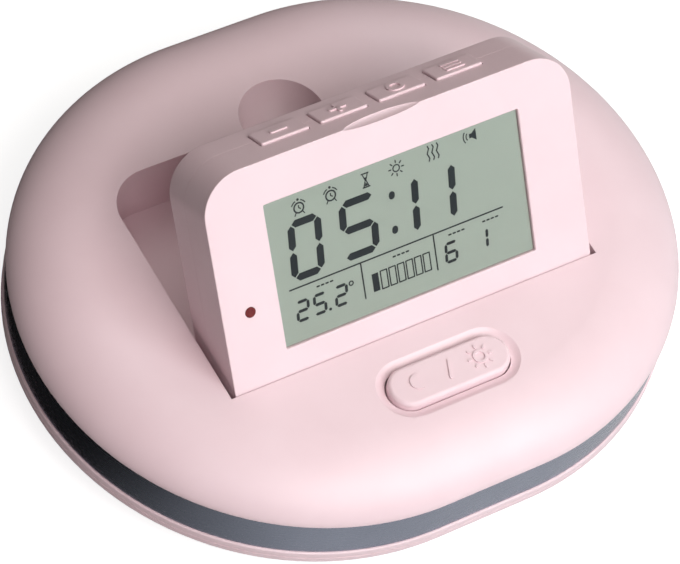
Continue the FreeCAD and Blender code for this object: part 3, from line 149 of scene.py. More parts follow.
def prism(points, low, high, axis="Z"):
    """A straight solid between two heights; points are (x, y), or (y, z) when it runs along X."""
    if axis == "X":
        return ringed([[(end, a, b) for a, b in points] for end in (low, high)])
    return ringed([[(a, b, end) for a, b in points] for end in (low, high)])


def arc(x, y, radius, start, end, count):
    """Points of an arc, both ends included; angles in degrees."""
    return [(x + radius * math.cos(math.radians(start + (end - start) * k / count)),
             y + radius * math.sin(math.radians(start + (end - start) * k / count)))
            for k in range(count + 1)]


def upright(points, low, high):
    """A straight solid that stands along Y between two heights; points are (x, z)."""
    return moved(prism(points, -high, -low), Matrix.Rotation(math.pi / 2, 4, "X"))


def rectangle(x0, x1, y0, y1, corner=0.0, count=6):
    """A rectangle, with round corners when a radius is given."""
    if corner <= 0:
        return [(x0, y0), (x1, y0), (x1, y1), (x0, y1)]
    return (arc(x1 - corner, y0 + corner, corner, -90, 0, count)
            + arc(x1 - corner, y1 - corner, corner, 0, 90, count)
            + arc(x0 + corner, y1 - corner, corner, 90, 180, count)
            + arc(x0 + corner, y0 + corner, corner, 180, 270, count))


def stadium(length, width, x=0.0, y=0.0, count=20):
    """A slot outline with round ends along X."""
    reach = (length - width) / 2
    return (arc(x + reach, y, width / 2, -90, 90, count)
            + arc(x - reach, y, width / 2, 90, 270, count))


def lathe(profile, centre, axis="X", count=48):
    """A solid turned about an axis; the profile is (along, radius) and ends on flat caps."""
    loops = []
    for along, radius in profile:
        circle = [(radius * math.cos(2 * math.pi * k / count), radius * math.sin(2 * math.pi * k / count))
                  for k in range(count)]
        if axis == "X":
            loops.append([(centre[0] + along, centre[1] + a, centre[2] + b) for a, b in circle])
        elif axis == "Y":
            loops.append([(centre[0] + b, centre[1] + along, centre[2] + a) for a, b in circle])
        else:
            loops.append([(centre[0] + a, centre[1] + b, centre[2] + along) for a, b in circle])
    return ringed(loops)


def ellipsoid(centre, radii, count=64):
    """A ball stretched along the three axes."""
    loops = []
    for k in range(1, count // 2):
        turn = math.pi * k / (count // 2)
        loops.append([(centre[0] + radii[0] * math.sin(turn) * math.cos(2 * math.pi * i / count),
                       centre[1] + radii[1] * math.sin(turn) * math.sin(2 * math.pi * i / count),
                       centre[2] - radii[2] * math.cos(turn)) for i in range(count)])
    return ringed(loops)


def moved(bm, place):
    """The same skin, put in another place."""
    bmesh.ops.transform(bm, matrix=place, verts=bm.verts)
    return bm


def joined(*parts):
    """Several separate skins as one mesh."""
    whole = bmesh.new()
    for part in parts:
        mesh = bpy.data.meshes.new("part")
        part.to_mesh(mesh)
        part.free()
        whole.from_mesh(mesh)
        bpy.data.meshes.remove(mesh)
    return whole


def boolean(base, tool, operation="DIFFERENCE"):
    """Combine two closed skins with the exact solver; both are used up."""
    objects = []
    for name, bm in (("base", base), ("tool", tool)):
        mesh = bpy.data.meshes.new(name)
        bm.to_mesh(mesh)
        bm.free()
        objects.append(bpy.data.objects.new(name, mesh))
        bpy.context.scene.collection.objects.link(objects[-1])
    modifier = objects[0].modifiers.new("boolean", "BOOLEAN")
    modifier.operation = operation
    modifier.solver = "EXACT"
    modifier.object = objects[1]
    result = bmesh.new()
    result.from_object(objects[0], bpy.context.evaluated_depsgraph_get())
    for obj in objects:
        mesh = obj.data
        bpy.data.objects.remove(obj)
        bpy.data.meshes.remove(mesh)
    bmesh.ops.remove_doubles(result, verts=result.verts, dist=0.002)
    return result


def carve(base, *tools):
    """A skin with the tools taken away from it, one by one."""
    for tool in tools:
        base = boolean(base, tool)
    return base


def add(base, *tools):
    """A skin with the tools joined to it as one solid."""
    for tool in tools:
        base = boolean(base, tool, "UNION")
    return base


def soften(bm, width, test, segments=3, sharper=25):
    """Round the sharp edges whose two ends both pass a test."""
    edges = [edge for edge in bm.edges
             if len(edge.link_faces) == 2 and edge.calc_face_angle() > math.radians(sharper)
             and all(test(vertex.co) for vertex in edge.verts)]
    bmesh.ops.bevel(bm, geom=edges, offset=width, segments=segments, profile=0.5,
                    affect="EDGES", clamp_overlap=True)
    return bm


def level(height):
    """A test for points that lie at one height."""
    return lambda point: abs(point.z - height) < 0.01


def always(point):
    """A test that every point passes."""
    return True


def cad_copy(node):
    """A node's own shape as a clean skin to work on, in millimetres."""
    bm = bmesh.new()
    bm.from_mesh(frame["nodes"][node].data)
    bmesh.ops.scale(bm, vec=Vector((1 / MM,) * 3), verts=bm.verts)
    bmesh.ops.remove_doubles(bm, verts=bm.verts, dist=0.001)
    bmesh.ops.dissolve_limit(bm, angle_limit=math.radians(0.6), verts=bm.verts, edges=bm.edges)
    return bm


def piece(name, bm, body, material, nodes=(), place=None, crease=38):
    """Turn a skin into an object that rides on a body, smooth except over its creases."""
    if place is not None:
        moved(bm, place)
    bmesh.ops.scale(bm, vec=Vector((MM,) * 3), verts=bm.verts)
    for face in bm.faces:
        face.smooth = True
    for edge in bm.edges:
        edge.smooth = len(edge.link_faces) == 2 and edge.calc_face_angle() < math.radians(crease)
    mesh = bpy.data.meshes.new(name)
    bm.to_mesh(mesh)
    bm.free()
    obj = bpy.data.objects.new(name, mesh)
    bpy.context.scene.collection.objects.link(obj)
    mesh.materials.append(material)
    obj.modifiers.new("flat_faces_first", "WEIGHTED_NORMAL").keep_sharp = True
    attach(obj, body)
    if nodes:
        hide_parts(*nodes)
    return obj


# Materials

def srgb(red, green, blue):
    """A colour given as it looks on a screen, 0 to 255, as linear light."""
    def linear(value):
        value /= 255
        return value / 12.92 if value <= 0.04045 else ((value + 0.055) / 1.055) ** 2.4
    return (linear(red), linear(green), linear(blue), 1.0)


def new_material(name):
    """A material with its nodes and its principled shader."""
    material = bpy.data.materials.new(name)
    material.use_nodes = True
    nodes = material.node_tree.nodes
    shader = nodes["Principled BSDF"]
    return material, nodes, material.node_tree.links, shader


def noise(nodes, links, scale, detail=3.0, stretch=(1, 1, 1)):
    """Noise in object space; scale is in cells per metre."""
    coordinates = nodes.new("ShaderNodeTexCoord")
    mapping = nodes.new("ShaderNodeMapping")
    mapping.inputs["Scale"].default_value = stretch
    texture = nodes.new("ShaderNodeTexNoise")
    texture.inputs["Scale"].default_value = scale
    texture.inputs["Detail"].default_value = detail
    links.new(coordinates.outputs["Object"], mapping.inputs["Vector"])
    links.new(mapping.outputs["Vector"], texture.inputs["Vector"])
    return texture


def ramp(nodes, links, source, low, high):
    """Two colours, or two greys, mixed by a texture's value."""
    mixer = nodes.new("ShaderNodeValToRGB")
    mixer.color_ramp.elements[0].position = 0.3
    mixer.color_ramp.elements[1].position = 0.7
    mixer.color_ramp.elements[0].color = low
    mixer.color_ramp.elements[1].color = high
    links.new(source, mixer.inputs["Fac"])
    return mixer


def grey(value):
    """A neutral colour from one linear value."""
    return (value, value, value, 1.0)


def textured(name, low, high, roughness, grain, bump, metallic=0.0, patches=60.0,
             stretch=(1, 1, 1), specular=0.5):
    """A surface with a slow change of colour, a finer one of roughness, and a fine relief.

    low and high are the two colours, roughness the two ends of its range, grain the
    relief's cells per metre and bump its height in metres.
    """
    material, nodes, links, shader = new_material(name)
    shader.inputs["Metallic"].default_value = metallic
    shader.inputs["Specular IOR Level"].default_value = specular
    slow = noise(nodes, links, patches)
    colour = ramp(nodes, links, slow.outputs["Fac"], low, high)
    links.new(colour.outputs["Color"], shader.inputs["Base Color"])
    middle = noise(nodes, links, grain / 6, stretch=stretch)
    gloss = ramp(nodes, links, middle.outputs["Fac"], grey(roughness[0]), grey(roughness[1]))
    links.new(gloss.outputs["Color"], shader.inputs["Roughness"])
    fine = noise(nodes, links, grain, stretch=stretch)
    relief = nodes.new("ShaderNodeBump")
    relief.inputs["Distance"].default_value = bump
    relief.inputs["Strength"].default_value = 0.6
    links.new(fine.outputs["Fac"], relief.inputs["Height"])
    links.new(relief.outputs["Normal"], shader.inputs["Normal"])
    return material


def pane_material():
    """Clear window plastic: it lets the light through and keeps a soft gloss."""
    material, nodes, links, shader = new_material("window_clear")
    haze = noise(nodes, links, 900.0)
    colour = ramp(nodes, links, haze.outputs["Fac"], srgb(20, 22, 21), srgb(26, 28, 27))
    links.new(colour.outputs["Color"], shader.inputs["Base Color"])
    shader.inputs["Roughness"].default_value = 0.12
    shader.inputs["Alpha"].default_value = 0.06
    return material


def glow_material(name, low, high, strength):
    """A small lamp that is dimly lit from inside."""
    material, nodes, links, shader = new_material(name)
    spots = noise(nodes, links, 1500.0)
    colour = ramp(nodes, links, spots.outputs["Fac"], low, high)
    links.new(colour.outputs["Color"], shader.inputs["Base Color"])
    links.new(colour.outputs["Color"], shader.inputs["Emission Color"])
    shader.inputs["Emission Strength"].default_value = strength
    shader.inputs["Roughness"].default_value = 0.2
    return material


pink_plastic = textured("pink_plastic", srgb(232, 206, 212), srgb(236, 211, 217), (0.36, 0.46), 5200.0,
                        0.000012)
band_paint = textured("band_paint", srgb(134, 139, 154), srgb(144, 149, 164), (0.22, 0.30), 3200.0, 0.000006,
                      metallic=1.0, stretch=(1, 1, 6))
black_plastic = textured("black_plastic", srgb(30, 31, 33), srgb(38, 39, 41), (0.35, 0.5), 4200.0, 0.00001)
rubber = textured("tyre_rubber", srgb(38, 37, 38), srgb(48, 47, 48), (0.7, 0.85), 2600.0, 0.00004)
steel = textured("bright_steel", srgb(176, 178, 182), srgb(196, 198, 202), (0.22, 0.36), 3000.0, 0.000006,
                 metallic=1.0, stretch=(1, 1, 8))
zinc = textured("zinc_plate", srgb(150, 152, 156), srgb(172, 174, 178), (0.3, 0.45), 2200.0, 0.000008,
                metallic=1.0)
brass = textured("brass_turned", srgb(196, 158, 84), srgb(214, 178, 104), (0.24, 0.36), 2600.0, 0.000006,
                 metallic=1.0)
white_nylon = textured("white_nylon", srgb(222, 220, 212), srgb(232, 230, 222), (0.4, 0.52), 2800.0, 0.00001)
board_green = textured("board_green", srgb(22, 92, 58), srgb(30, 106, 68), (0.3, 0.42), 1800.0, 0.00001)
cell_wrap = textured("battery_wrap", srgb(58, 92, 150), srgb(66, 102, 162), (0.28, 0.36), 1500.0, 0.000006)
cone_paper = textured("cone_paper", srgb(52, 50, 48), srgb(66, 63, 60), (0.75, 0.9), 2400.0, 0.00004)
magnet_grey = textured("magnet_grey", srgb(92, 94, 98), srgb(108, 110, 114), (0.4, 0.55), 2000.0, 0.00002,
                       metallic=0.8)
lcd_grey = textured("lcd_grey", srgb(166, 176, 165), srgb(170, 180, 169), (0.3, 0.36), 1200.0, 0.000001,
                    patches=20.0)
lcd_ink = textured("lcd_ink", srgb(32, 36, 40), srgb(38, 42, 46), (0.3, 0.4), 1200.0, 0.000001)
light_guide = textured("light_guide", srgb(225, 228, 224), srgb(235, 238, 234), (0.2, 0.3), 1500.0, 0.000004)
pane = pane_material()
amber = glow_material("indicator_amber", srgb(96, 38, 40), srgb(122, 54, 54), 0.0)
lamp_white = glow_material("lamp_white", srgb(240, 236, 214), srgb(250, 246, 226), 0.05)


# Base

def base_loop(inset, z):
    """The base's outline, moved inward: two flats joined by two half circles."""
    return [(x, y, z) for x, y in stadium(2 * (half_width - inset), 2 * (half_depth - inset), count=88)]


def snooze_outline(grow=0.0):
    """The snooze button's outline, made longer and wider by grow."""
    return stadium(snooze_length + grow, snooze_width + grow, 0, snooze_y)


def shoulder(share):
    """How far in and how far up the dome is, from 0 at its edge to 1 on the plateau."""
    inset = share ** 2
    climb = (1 - (1 - inset) ** 2) ** (1 / shoulder_fullness)
    return inset * shoulder_run, climb * shoulder_rise


def dome_levels(inset, drop, steps):
    """The dome's levels from its edge to the plateau, as (run inward, height)."""
    curve = [shoulder(k / steps) for k in range(steps + 1)]
    return [(inset + run, edge_top - drop + rise) for run, rise in curve]


def quarter_round(inset, z, radius, steps=4):
    """Levels of a rounded lower outer edge, from its flat underside to its upright face."""
    return [(inset + radius - radius * math.sin(turn), z + radius - radius * math.cos(turn))
            for turn in (math.pi / 2 * k / steps for k in range(steps + 1))]


def pocket_space():
    """The room of the display pocket: a cove along the hinge, and round rear corners."""
    front = hinge.y - cove
    section = ([(pocket_back + past, pocket_floor), (front, pocket_floor)]
               + arc(hinge.y, hinge.z, cove, 180, 90 + math.degrees(tilt), 8)
               + [(rim_y, plateau), (rim_y, plateau + past), (pocket_back + past, plateau + past)])
    plan = ([(-pocket_half, front - past), (pocket_half, front - past)]
            + arc(pocket_half - pocket_corner, pocket_back - pocket_corner, pocket_corner, 0, 90, 14)
            + arc(pocket_corner - pocket_half, pocket_back - pocket_corner, pocket_corner, 90, 180, 14))
    return boolean(prism(section, -pocket_half - past, pocket_half + past, "X"),
                   prism(plan, 0, plateau + 2 * past), "INTERSECT")


def snooze_dish():
    """The opening for the snooze button, widening upward into a shallow dish and on past the plateau."""
    sharpness = 1.5
    depth = 8.0
    brim_run, brim_rise = 0.6, 0.47
    levels = [(0.0, plateau - depth), (0.0, plateau - dish_drop)]
    levels += [(dish_run * t, plateau - dish_drop * (1 - t ** sharpness)) for t in (0.2, 0.4, 0.6, 0.8, 1.0)]
    levels += [(dish_run + brim_run, plateau + brim_rise)]
    return ringed([[(x, y, z) for x, y in snooze_outline(2 * (hole_margin + run))] for run, z in levels])


def make_top_shell():
    """The domed shell and its skirt, with the pocket's tray, the dimple's bowl and the hinge boss."""
    tray_wall = 1.5
    tray_corner = 4.0
    boss_radius = 4.1
    tray_top, bowl_top = plateau - 0.6, plateau - 0.7
    inner_steps, outer_steps = 24, 28
    inner = [(run, z) for run, z in dome_levels(wall, wall, inner_steps) if run > skirt_inset + wall]
    levels = inner[::-1]
    levels += [(skirt_inset + wall, skirt_foot), (skirt_inset, skirt_foot), (skirt_inset, band_top)]
    levels += quarter_round(0.0, band_top, rim_edge) + dome_levels(0.0, 0.0, outer_steps)[1:]
    shell = ringed([base_loop(run, z) for run, z in levels])
    tray_plan = rectangle(-pocket_half - tray_wall, pocket_half + tray_wall, hinge.y - cove - tray_wall,
                          pocket_back + tray_wall, tray_corner)
    tray = prism(tray_plan, pocket_floor - tray_wall, tray_top)
    bowl = boolean(ellipsoid(dimple_centre, (dimple_radius + tray_wall,) * 3),
                   prism(rectangle(-half_width, half_width, 0, half_depth), 0, bowl_top), "INTERSECT")
    boss_reach = extent("hinge_bushings")[1].x
    boss = lathe([(-boss_reach, boss_radius), (boss_reach, boss_radius)], (0, hinge.y, hinge.z))
    shell = add(shell, tray, bowl, boss)
    shell = carve(shell, pocket_space(), ellipsoid(dimple_centre, (dimple_radius,) * 3, 96), snooze_dish())
    soften(shell, plateau_edge, level(plateau), 4)
    return piece("top_shell_skin", shell, "base", pink_plastic, ["top_shell"])


def make_band():
    """The band as a closed strip round the waist, its outer edges rounded."""
    inset, thickness, edge = 0.4, 1.3, 0.15
    low, high = band_low.z, band_high.z
    edge_levels = quarter_round(inset, low, edge, 2)
    levels = [(inset + thickness, low)] + edge_levels
    levels += [(run, low + high - z) for run, z in edge_levels[::-1]]
    levels += [(inset + thickness, high)]
    band = ringed([base_loop(run, z) for run, z in levels], caps=False)
    return piece("rim_band_skin", band, "base", band_paint, ["rim_band"])


def make_bottom_shell():
    """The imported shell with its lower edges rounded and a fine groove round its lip."""
    lip_low = bottom_low.z + 4.0
    groove_low = lip_low + 1.35
    groove_step = 0.15
    groove_depth = 0.25
    outside = -0.5
    edge = 0.4
    groove = [(run, groove_low + groove_step * k)
              for k, run in enumerate((outside, groove_depth, groove_depth, outside))]
    shell = carve(cad_copy("bottom_shell"), ringed([base_loop(run, z) for run, z in groove], caps=False))
    soften(shell, edge, level(bottom_low.z), 3)
    soften(shell, edge, lambda point: level(lip_low)(point) or level(band_bottom)(point), 3)
    return piece("bottom_shell_skin", shell, "base", pink_plastic, ["bottom_shell"])


# Snooze button

def relief_bar(x, y, length, width, turn=0.0, bottom=0.0, height=0.3):
    """A thin raised stroke with round ends, turned about its middle."""
    bar = prism(stadium(length, width, 0, 0, 6), bottom, bottom + height)
    return moved(bar, Matrix.Translation((x, y, 0)) @ Matrix.Rotation(math.radians(turn), 4, "Z"))


def tube_ring(x, y, radius, width, bottom, height, start=0.0, end=360.0, count=28):
    """A flat ring, or a piece of one, as a raised line."""
    outer, inner = radius + width / 2, radius - width / 2
    if end - start >= 360:
        outside = arc(x, y, outer, 0, 360, count)[:-1]
        inside = arc(x, y, inner, 0, 360, count)[:-1]
        return ringed([[(a, b, z) for a, b in loop]
                       for loop, z in ((inside, bottom), (outside, bottom), (outside, bottom + height),
                                       (inside, bottom + height))], caps=False)
    outline = arc(x, y, outer, start, end, count) + arc(x, y, inner, end, start, count)
    return prism(outline, bottom, bottom + height)


def crescent(x, y, radius, bottom, height):
    """A moon: a circle's arc closed by a flatter one."""
    outside = arc(x, y, radius, 60, 300, 20)[:-1]
    hollow = arc(x + radius, y, 0.9959 * radius, 230, 130, 14)[1:-1]
    return prism(outside + hollow, bottom, bottom + height)


def snooze_marks(foot, rise):
    """A moon, a slash and a lamp with its rays, raised on the cap."""
    moon_x, lamp_x = -7.2, 7.0
    ray_out = 2.35
    marks = [crescent(moon_x, snooze_y, 1.7, foot, rise),
             relief_bar(0.0, snooze_y, 4.4, 0.55, 68, foot, rise),
             tube_ring(lamp_x, snooze_y, 1.25, 0.5, foot, rise)]
    for turn in range(0, 360, 45):
        angle = math.radians(turn)
        marks.append(relief_bar(lamp_x + ray_out * math.cos(angle), snooze_y + ray_out * math.sin(angle),
                                0.9, 0.4, turn, foot, rise))
    return marks


def make_snooze():
    """The snooze cap with its marks, and under it a neck, a flange that holds it in and two stems."""
    low, high = extent("snooze_button")
    cap_foot = high.z - 3.2
    edge, steps = 0.9, 5
    mark_sink, mark_rise = 0.12, 0.42
    overlap = 0.2
    lip, lip_low, lip_high = 2.0, 1.9, 0.7
    neck_low = 1.0
    stem_x, stem_radius = 10.0, 1.4
    turns = [math.pi / 2 * k / steps for k in range(steps + 1)]
    levels = [(0.0, cap_foot)]
    levels += [(edge * (1 - math.cos(turn)), high.z - edge + edge * math.sin(turn)) for turn in turns]
    cap = ringed([[(x, y, z) for x, y in snooze_outline(-2 * run)] for run, z in levels])
    stems = [lathe([(low.z, stem_radius), (cap_foot + overlap, stem_radius)], (x, snooze_y, 0), "Z", 24)
             for x in (-stem_x, stem_x)]
    flange = prism(snooze_outline(lip), cap_foot - lip_low, cap_foot - lip_high)
    neck = prism(snooze_outline(-lip), cap_foot - neck_low, cap_foot + overlap)
    marks = snooze_marks(high.z - mark_sink, mark_rise)
    return piece("snooze_cap", joined(cap, neck, flange, *stems, *marks), "snooze", pink_plastic,
                 ["snooze_button"])


# Display shells

def panel_outline():
    """The panel's sides and round top, as (x, v), from its lower right corner to its lower left one."""
    right = [(panel_half, 0.0)]
    right += arc(panel_half - panel_corner, panel_top - panel_corner, panel_corner, 0, 90, 14)
    return right + [(-x, v) for x, v in right[::-1]]


def panel_room(low, high):
    """The hollow inside one of the panel's shells, between two depths."""
    plan = rectangle(-panel_half + wall, panel_half - wall, room_low, panel_top - wall, panel_corner - wall)
    return prism(plan, low, high)


def shell_blank(low_w, high_w, bottom):
    """The front half as a closed block: the panel's outline, and a bottom section given as (v, w)."""
    upper = panel_outline()
    bm = bmesh.new()
    front = [bm.verts.new((x, v, high_w)) for x, v in upper]
    back = [bm.verts.new((x, v, low_w)) for x, v in upper[1:-1]]
    ends = [[bm.verts.new((x, v, w)) for v, w in bottom] for x in (panel_half, -panel_half)]
    for i in range(1, len(front) - 2):
        bm.faces.new((front[i], front[i + 1], back[i], back[i - 1]))
    for i in range(len(bottom) - 1):
        bm.faces.new((ends[0][i], ends[0][i + 1], ends[1][i + 1], ends[1][i]))
    bm.faces.new([front[0]] + ends[0] + [back[0], front[1]])
    bm.faces.new([front[-2], back[-1]] + ends[1][::-1] + [front[-1]])
    bm.faces.new((front[0], front[-1], ends[1][0], ends[0][0]))
    bm.faces.new(front)
    bm.faces.new(back + [ends[1][-1], ends[0][-1]])
    bmesh.ops.recalc_face_normals(bm, faces=bm.faces)
    return bm


def key_places():
    """From each key's own node: its name, middle x, half width, middle w, half depth and top."""
    cap_skin = 0.05
    places = []
    stand_down = panel_place.inverted()
    for name in ("key_minus", "key_plus", "key_ring", "key_menu"):
        points = [stand_down @ (vertex.co / MM) for vertex in frame["nodes"][name].data.vertices]
        top = max(point.y for point in points)
        cap = [point for point in points if point.y > top - cap_skin]
        x = [point.x for point in cap]
        w = [point.z for point in cap]
        places.append((name, (min(x) + max(x)) / 2, (max(x) - min(x)) / 2, (min(w) + max(w)) / 2,
                       (max(w) - min(w)) / 2, top))
    return places


def key_plan(x, half, w, deep, grow=0.0, corner=0.0, count=3):
    """A key's outline seen along the panel, as (x, w), made wider all round by grow."""
    return rectangle(x - half - grow, x + half + grow, w - deep - grow, w + deep + grow, corner, count)


def key_cutters():
    """The openings for the keys, cut through the panel's top edge."""
    gap, corner = 0.2, 0.6
    return [upright(key_plan(x, half, w, deep, gap, corner), panel_top - past, panel_top + past)
            for _, x, half, w, deep, _ in key_places()]


def window_rim(point):
    """A test for the window's edge on the panel's face."""
    return (abs(point.z - panel_front) < 0.01 and abs(point.x) < window_half + 1
            and window_low - 1 < point.y < window_high + 1)


def make_front_shell():
    """The panel's front: the face with its window and lamp hole, and the rounded barrel at the hinge."""
    back_face = parting + parting_gap
    lamp_hole = 1.15
    notch_centre = (-1.1, panel_top + 0.2, panel_front + 0.6)
    notch_radii = (9.0, 1.02, 2.85)
    section = [(-b, a) for a, b in arc(0, 0, barrel, 0, 90, 10)][1:] + [(-barrel, back_face)]
    shell = shell_blank(back_face, panel_front, section)
    soften(shell, panel_edge, lambda p: p.z > -0.01 or p.y < 0.01 and p.z > parting + 0.5, 4, 50)
    soften(shell, parting_edge, level(back_face), 2, 50)
    window_plan = rectangle(-window_half, window_half, window_low, window_high, 0.25, 2)
    window = prism(window_plan, 0, panel_front + past)
    lamp = [vertex.co / MM for vertex in frame["nodes"]["indicator_lens"].data.vertices]
    middle = panel_place.inverted() @ ((Vector(map(min, *lamp)) + Vector(map(max, *lamp))) / 2)
    hole = lathe([(0, lamp_hole), (panel_front + past, lamp_hole)], (middle.x, middle.y, 0), "Z", 32)
    shell = carve(shell, panel_room(parting - past, panel_front - wall), window, hole,
                  ellipsoid(notch_centre, notch_radii, 96), *key_cutters())
    soften(shell, window_edge, window_rim, 3, 50)
    return piece("display_front", shell, "panel", pink_plastic, ["display_front_shell"],
                 panel_place)


def make_back_shell():
    """The panel's back, with a heel that follows its swing about the hinge, and seats for its screws."""
    front_face = parting - parting_gap
    seat_radius, seat_depth = 2.3, 1.4
    sweep = -panel_back + seam
    foot = math.sqrt(sweep ** 2 - barrel ** 2)
    toe = math.sqrt(sweep ** 2 - panel_back ** 2)
    start = math.degrees(math.atan2(-foot, -barrel))
    end = math.degrees(math.atan2(panel_back, -toe))
    section = ([(-barrel, front_face)] + arc(0, 0, sweep, start, end, 8)
               + [(panel_top + past, panel_back), (panel_top + past, front_face)])
    plan = [(-panel_half, -barrel - past), (panel_half, -barrel - past)] + panel_outline()[1:-1]
    block = boolean(prism(section, -panel_half - past, panel_half + past, "X"),
                    prism(plan, panel_back - past, panel_front + past), "INTERSECT")
    soften(block, panel_edge, lambda p: p.z < panel_back + 0.01 or p.y < 0 and p.z < parting - 1, 4, 40)
    soften(block, parting_edge, level(front_face), 2, 50)
    seat = [(panel_back - past, seat_radius), (panel_back + seat_depth, seat_radius)]
    seats = [lathe(seat, (x, v, 0), "Z", 32) for x, v in display_screw_spots]
    shell = carve(block, panel_room(panel_back + wall, parting + past), *seats, *key_cutters())
    return piece("display_back", shell, "panel", pink_plastic, ["display_back_shell"],
                 panel_place)


def key_marks(name, foot):
    """The raised mark of one key, drawn about its middle."""
    rise = 0.4
    if name == "key_minus":
        return [relief_bar(0, 0, 3.8, 0.8, 0, foot, rise)]
    if name == "key_plus":
        return [relief_bar(0, 0, 3.8, 0.8, 0, foot, rise), relief_bar(0, 0, 3.6, 0.8, 90, foot, rise)]
    if name == "key_ring":
        return [tube_ring(0, 0, 1.45, 0.75, foot, rise)]
    return [relief_bar(0, offset, 4.2, 0.62, 0, foot, rise) for offset in (-1.25, 0.0, 1.25)]


def make_keys():
    """Each key's cap with its mark, and the skirt that keeps it behind the panel's top edge."""
    cap_height = 5.0
    skirt_low, skirt_high, skirt_margin = 3.5, 2.7, 0.7
    mark_sink = 0.1
    for name, x, half, w, deep, top in key_places():
        cap = upright(key_plan(x, half, w, deep, corner=0.5, count=4), top - cap_height, top)
        soften(cap, 0.35, lambda p, top=top: abs(p.y - top) < 0.01, 3, 50)
        skirt = upright(key_plan(x, half, w, deep, skirt_margin), top - skirt_low, top - skirt_high)
        stand = Matrix(((1, 0, 0, x), (0, 0, 1, 0), (0, -1, 0, w), (0, 0, 0, 1)))
        marks = [moved(mark, stand) for mark in key_marks(name, top - mark_sink)]
        piece(f"{name}_cap", joined(cap, skirt, *marks), name, pink_plastic, [name],
              panel_place)


# Display picture: panes and the marks of the liquid crystal

ink_foot = panel_front - 0.78
ink_rise = 0.04


def stroke(x0, v0, x1, v1, width):
    """A straight ink line with round ends."""
    length = math.hypot(x1 - x0, v1 - v0) + width
    turn = math.degrees(math.atan2(v1 - v0, x1 - x0))
    return relief_bar((x0 + x1) / 2, (v0 + v1) / 2, length, width, turn, ink_foot, ink_rise)


def flat_shape(points):
    """An ink mark that fills an outline."""
    return prism(points, ink_foot, ink_foot + ink_rise)


DIGIT_PARTS = {0: "abcdef", 1: "bc", 2: "abged", 5: "afgcd", 6: "afgcde"}


def segment_digit(number, x, v, width, height, thick, lean=4.0):
    """A seven-segment digit; x and v are its lower left corner."""
    gap = thick * 0.12
    half = thick / 2
    neck = half + gap
    middle = height / 2
    left, right = half, width - half
    low, high = half, height - half
    spots = {"a": (left, high, right, high), "g": (left, middle, right, middle), "d": (left, low, right, low),
             "f": (left, middle, left, high), "b": (right, middle, right, high),
             "e": (left, low, left, middle), "c": (right, low, right, middle)}
    slope = math.tan(math.radians(lean))
    shapes = []
    for part in DIGIT_PARTS[number]:
        x0, v0, x1, v1 = spots[part]
        if v0 == v1:
            ends = [(x0 + gap, v0), (x0 + neck, v0 + half), (x1 - neck, v0 + half), (x1 - gap, v0),
                    (x1 - neck, v0 - half), (x0 + neck, v0 - half)]
        else:
            ends = [(x0, v0 + gap), (x0 + half, v0 + neck), (x0 + half, v1 - neck), (x0, v1 - gap),
                    (x0 - half, v1 - neck), (x0 - half, v0 + neck)]
        shapes.append(flat_shape([(x + a + b * slope, v + b) for a, b in ends]))
    return shapes


def alarm_icon(x, v):
    """A bell clock: a ring, two feet, a knob, two bells and a small hand."""
    marks = [tube_ring(x, v, 1.05, 0.32, ink_foot, ink_rise, count=20),
             stroke(x, v + 0.45, x, v, 0.24), stroke(x, v, x + 0.35, v - 0.25, 0.24),
             flat_shape(arc(x, v + 1.75, 0.28, 0, 315, 7))]
    for side in (-1, 1):
        marks.append(stroke(x + side * 0.75, v - 0.95, x + side * 1.05, v - 1.45, 0.22))
        start = 25 if side > 0 else 110
        marks.append(tube_ring(x, v, 1.62, 0.24, ink_foot, ink_rise, start, start + 45, 8))
    return marks


def hourglass_icon(x, v):
    """Two bars, the glass between them, and sand above and below its neck."""
    marks = [stroke(x - 0.75, v + end, x + 0.75, v + end, 0.26) for end in (1.45, -1.45)]
    marks += [flat_shape([(x - 0.42, v - 1.2), (x + 0.42, v - 1.2), (x, v - 0.45)]),
              flat_shape([(x, v), (x + 0.3, v + 0.6), (x - 0.3, v + 0.6)])]
    for side in (-1, 1):
        marks.append(stroke(x + side * 0.6, v + 1.4, x + side * 0.08, v, 0.2))
        marks.append(stroke(x + side * 0.08, v, x + side * 0.6, v - 1.4, 0.2))
    return marks


def sun_icon(x, v):
    """A ring with eight rays."""
    marks = [tube_ring(x, v, 0.72, 0.26, ink_foot, ink_rise, count=18)]
    for k in range(8):
        c, s = math.cos(k * math.pi / 4), math.sin(k * math.pi / 4)
        marks.append(stroke(x + 1.2 * c, v + 1.2 * s, x + 1.65 * c, v + 1.65 * s, 0.26))
    return marks


def waves_icon(x, v):
    """Three wavy lines side by side."""
    height, swing, steps = 3.2, 0.22, 6
    marks = []
    for column in (-1.05, 0.0, 1.05):
        points = [(x + column + swing * math.sin(k * math.pi / 2), v - height / 2 + height * k / steps)
                  for k in range(steps + 1)]
        marks += [stroke(*points[k], *points[k + 1], 0.26) for k in range(steps)]
    return marks


def speaker_icon(x, v):
    """A loudspeaker with two sound waves."""
    marks = [flat_shape([(x + 0.2, v - 0.45), (x + 0.2, v + 0.45), (x + 0.75, v + 0.45), (x + 1.75, v + 1.25),
                         (x + 1.75, v - 1.25), (x + 0.75, v - 0.45)][::-1])]
    marks += [tube_ring(x + 0.6, v, radius, 0.22, ink_foot, ink_rise, 140, 220, 8) for radius in (1.1, 1.75)]
    return marks


def icon_marks():
    """The row of pictograms over the digits."""
    marks = []
    for x in (-20.98, -13.94):
        marks += alarm_icon(x, 36.4)
    marks += hourglass_icon(-6.1, 36.8) + sun_icon(0.78, 36.9)
    return marks + waves_icon(9.15, 37.3) + speaker_icon(17.3, 37.7)


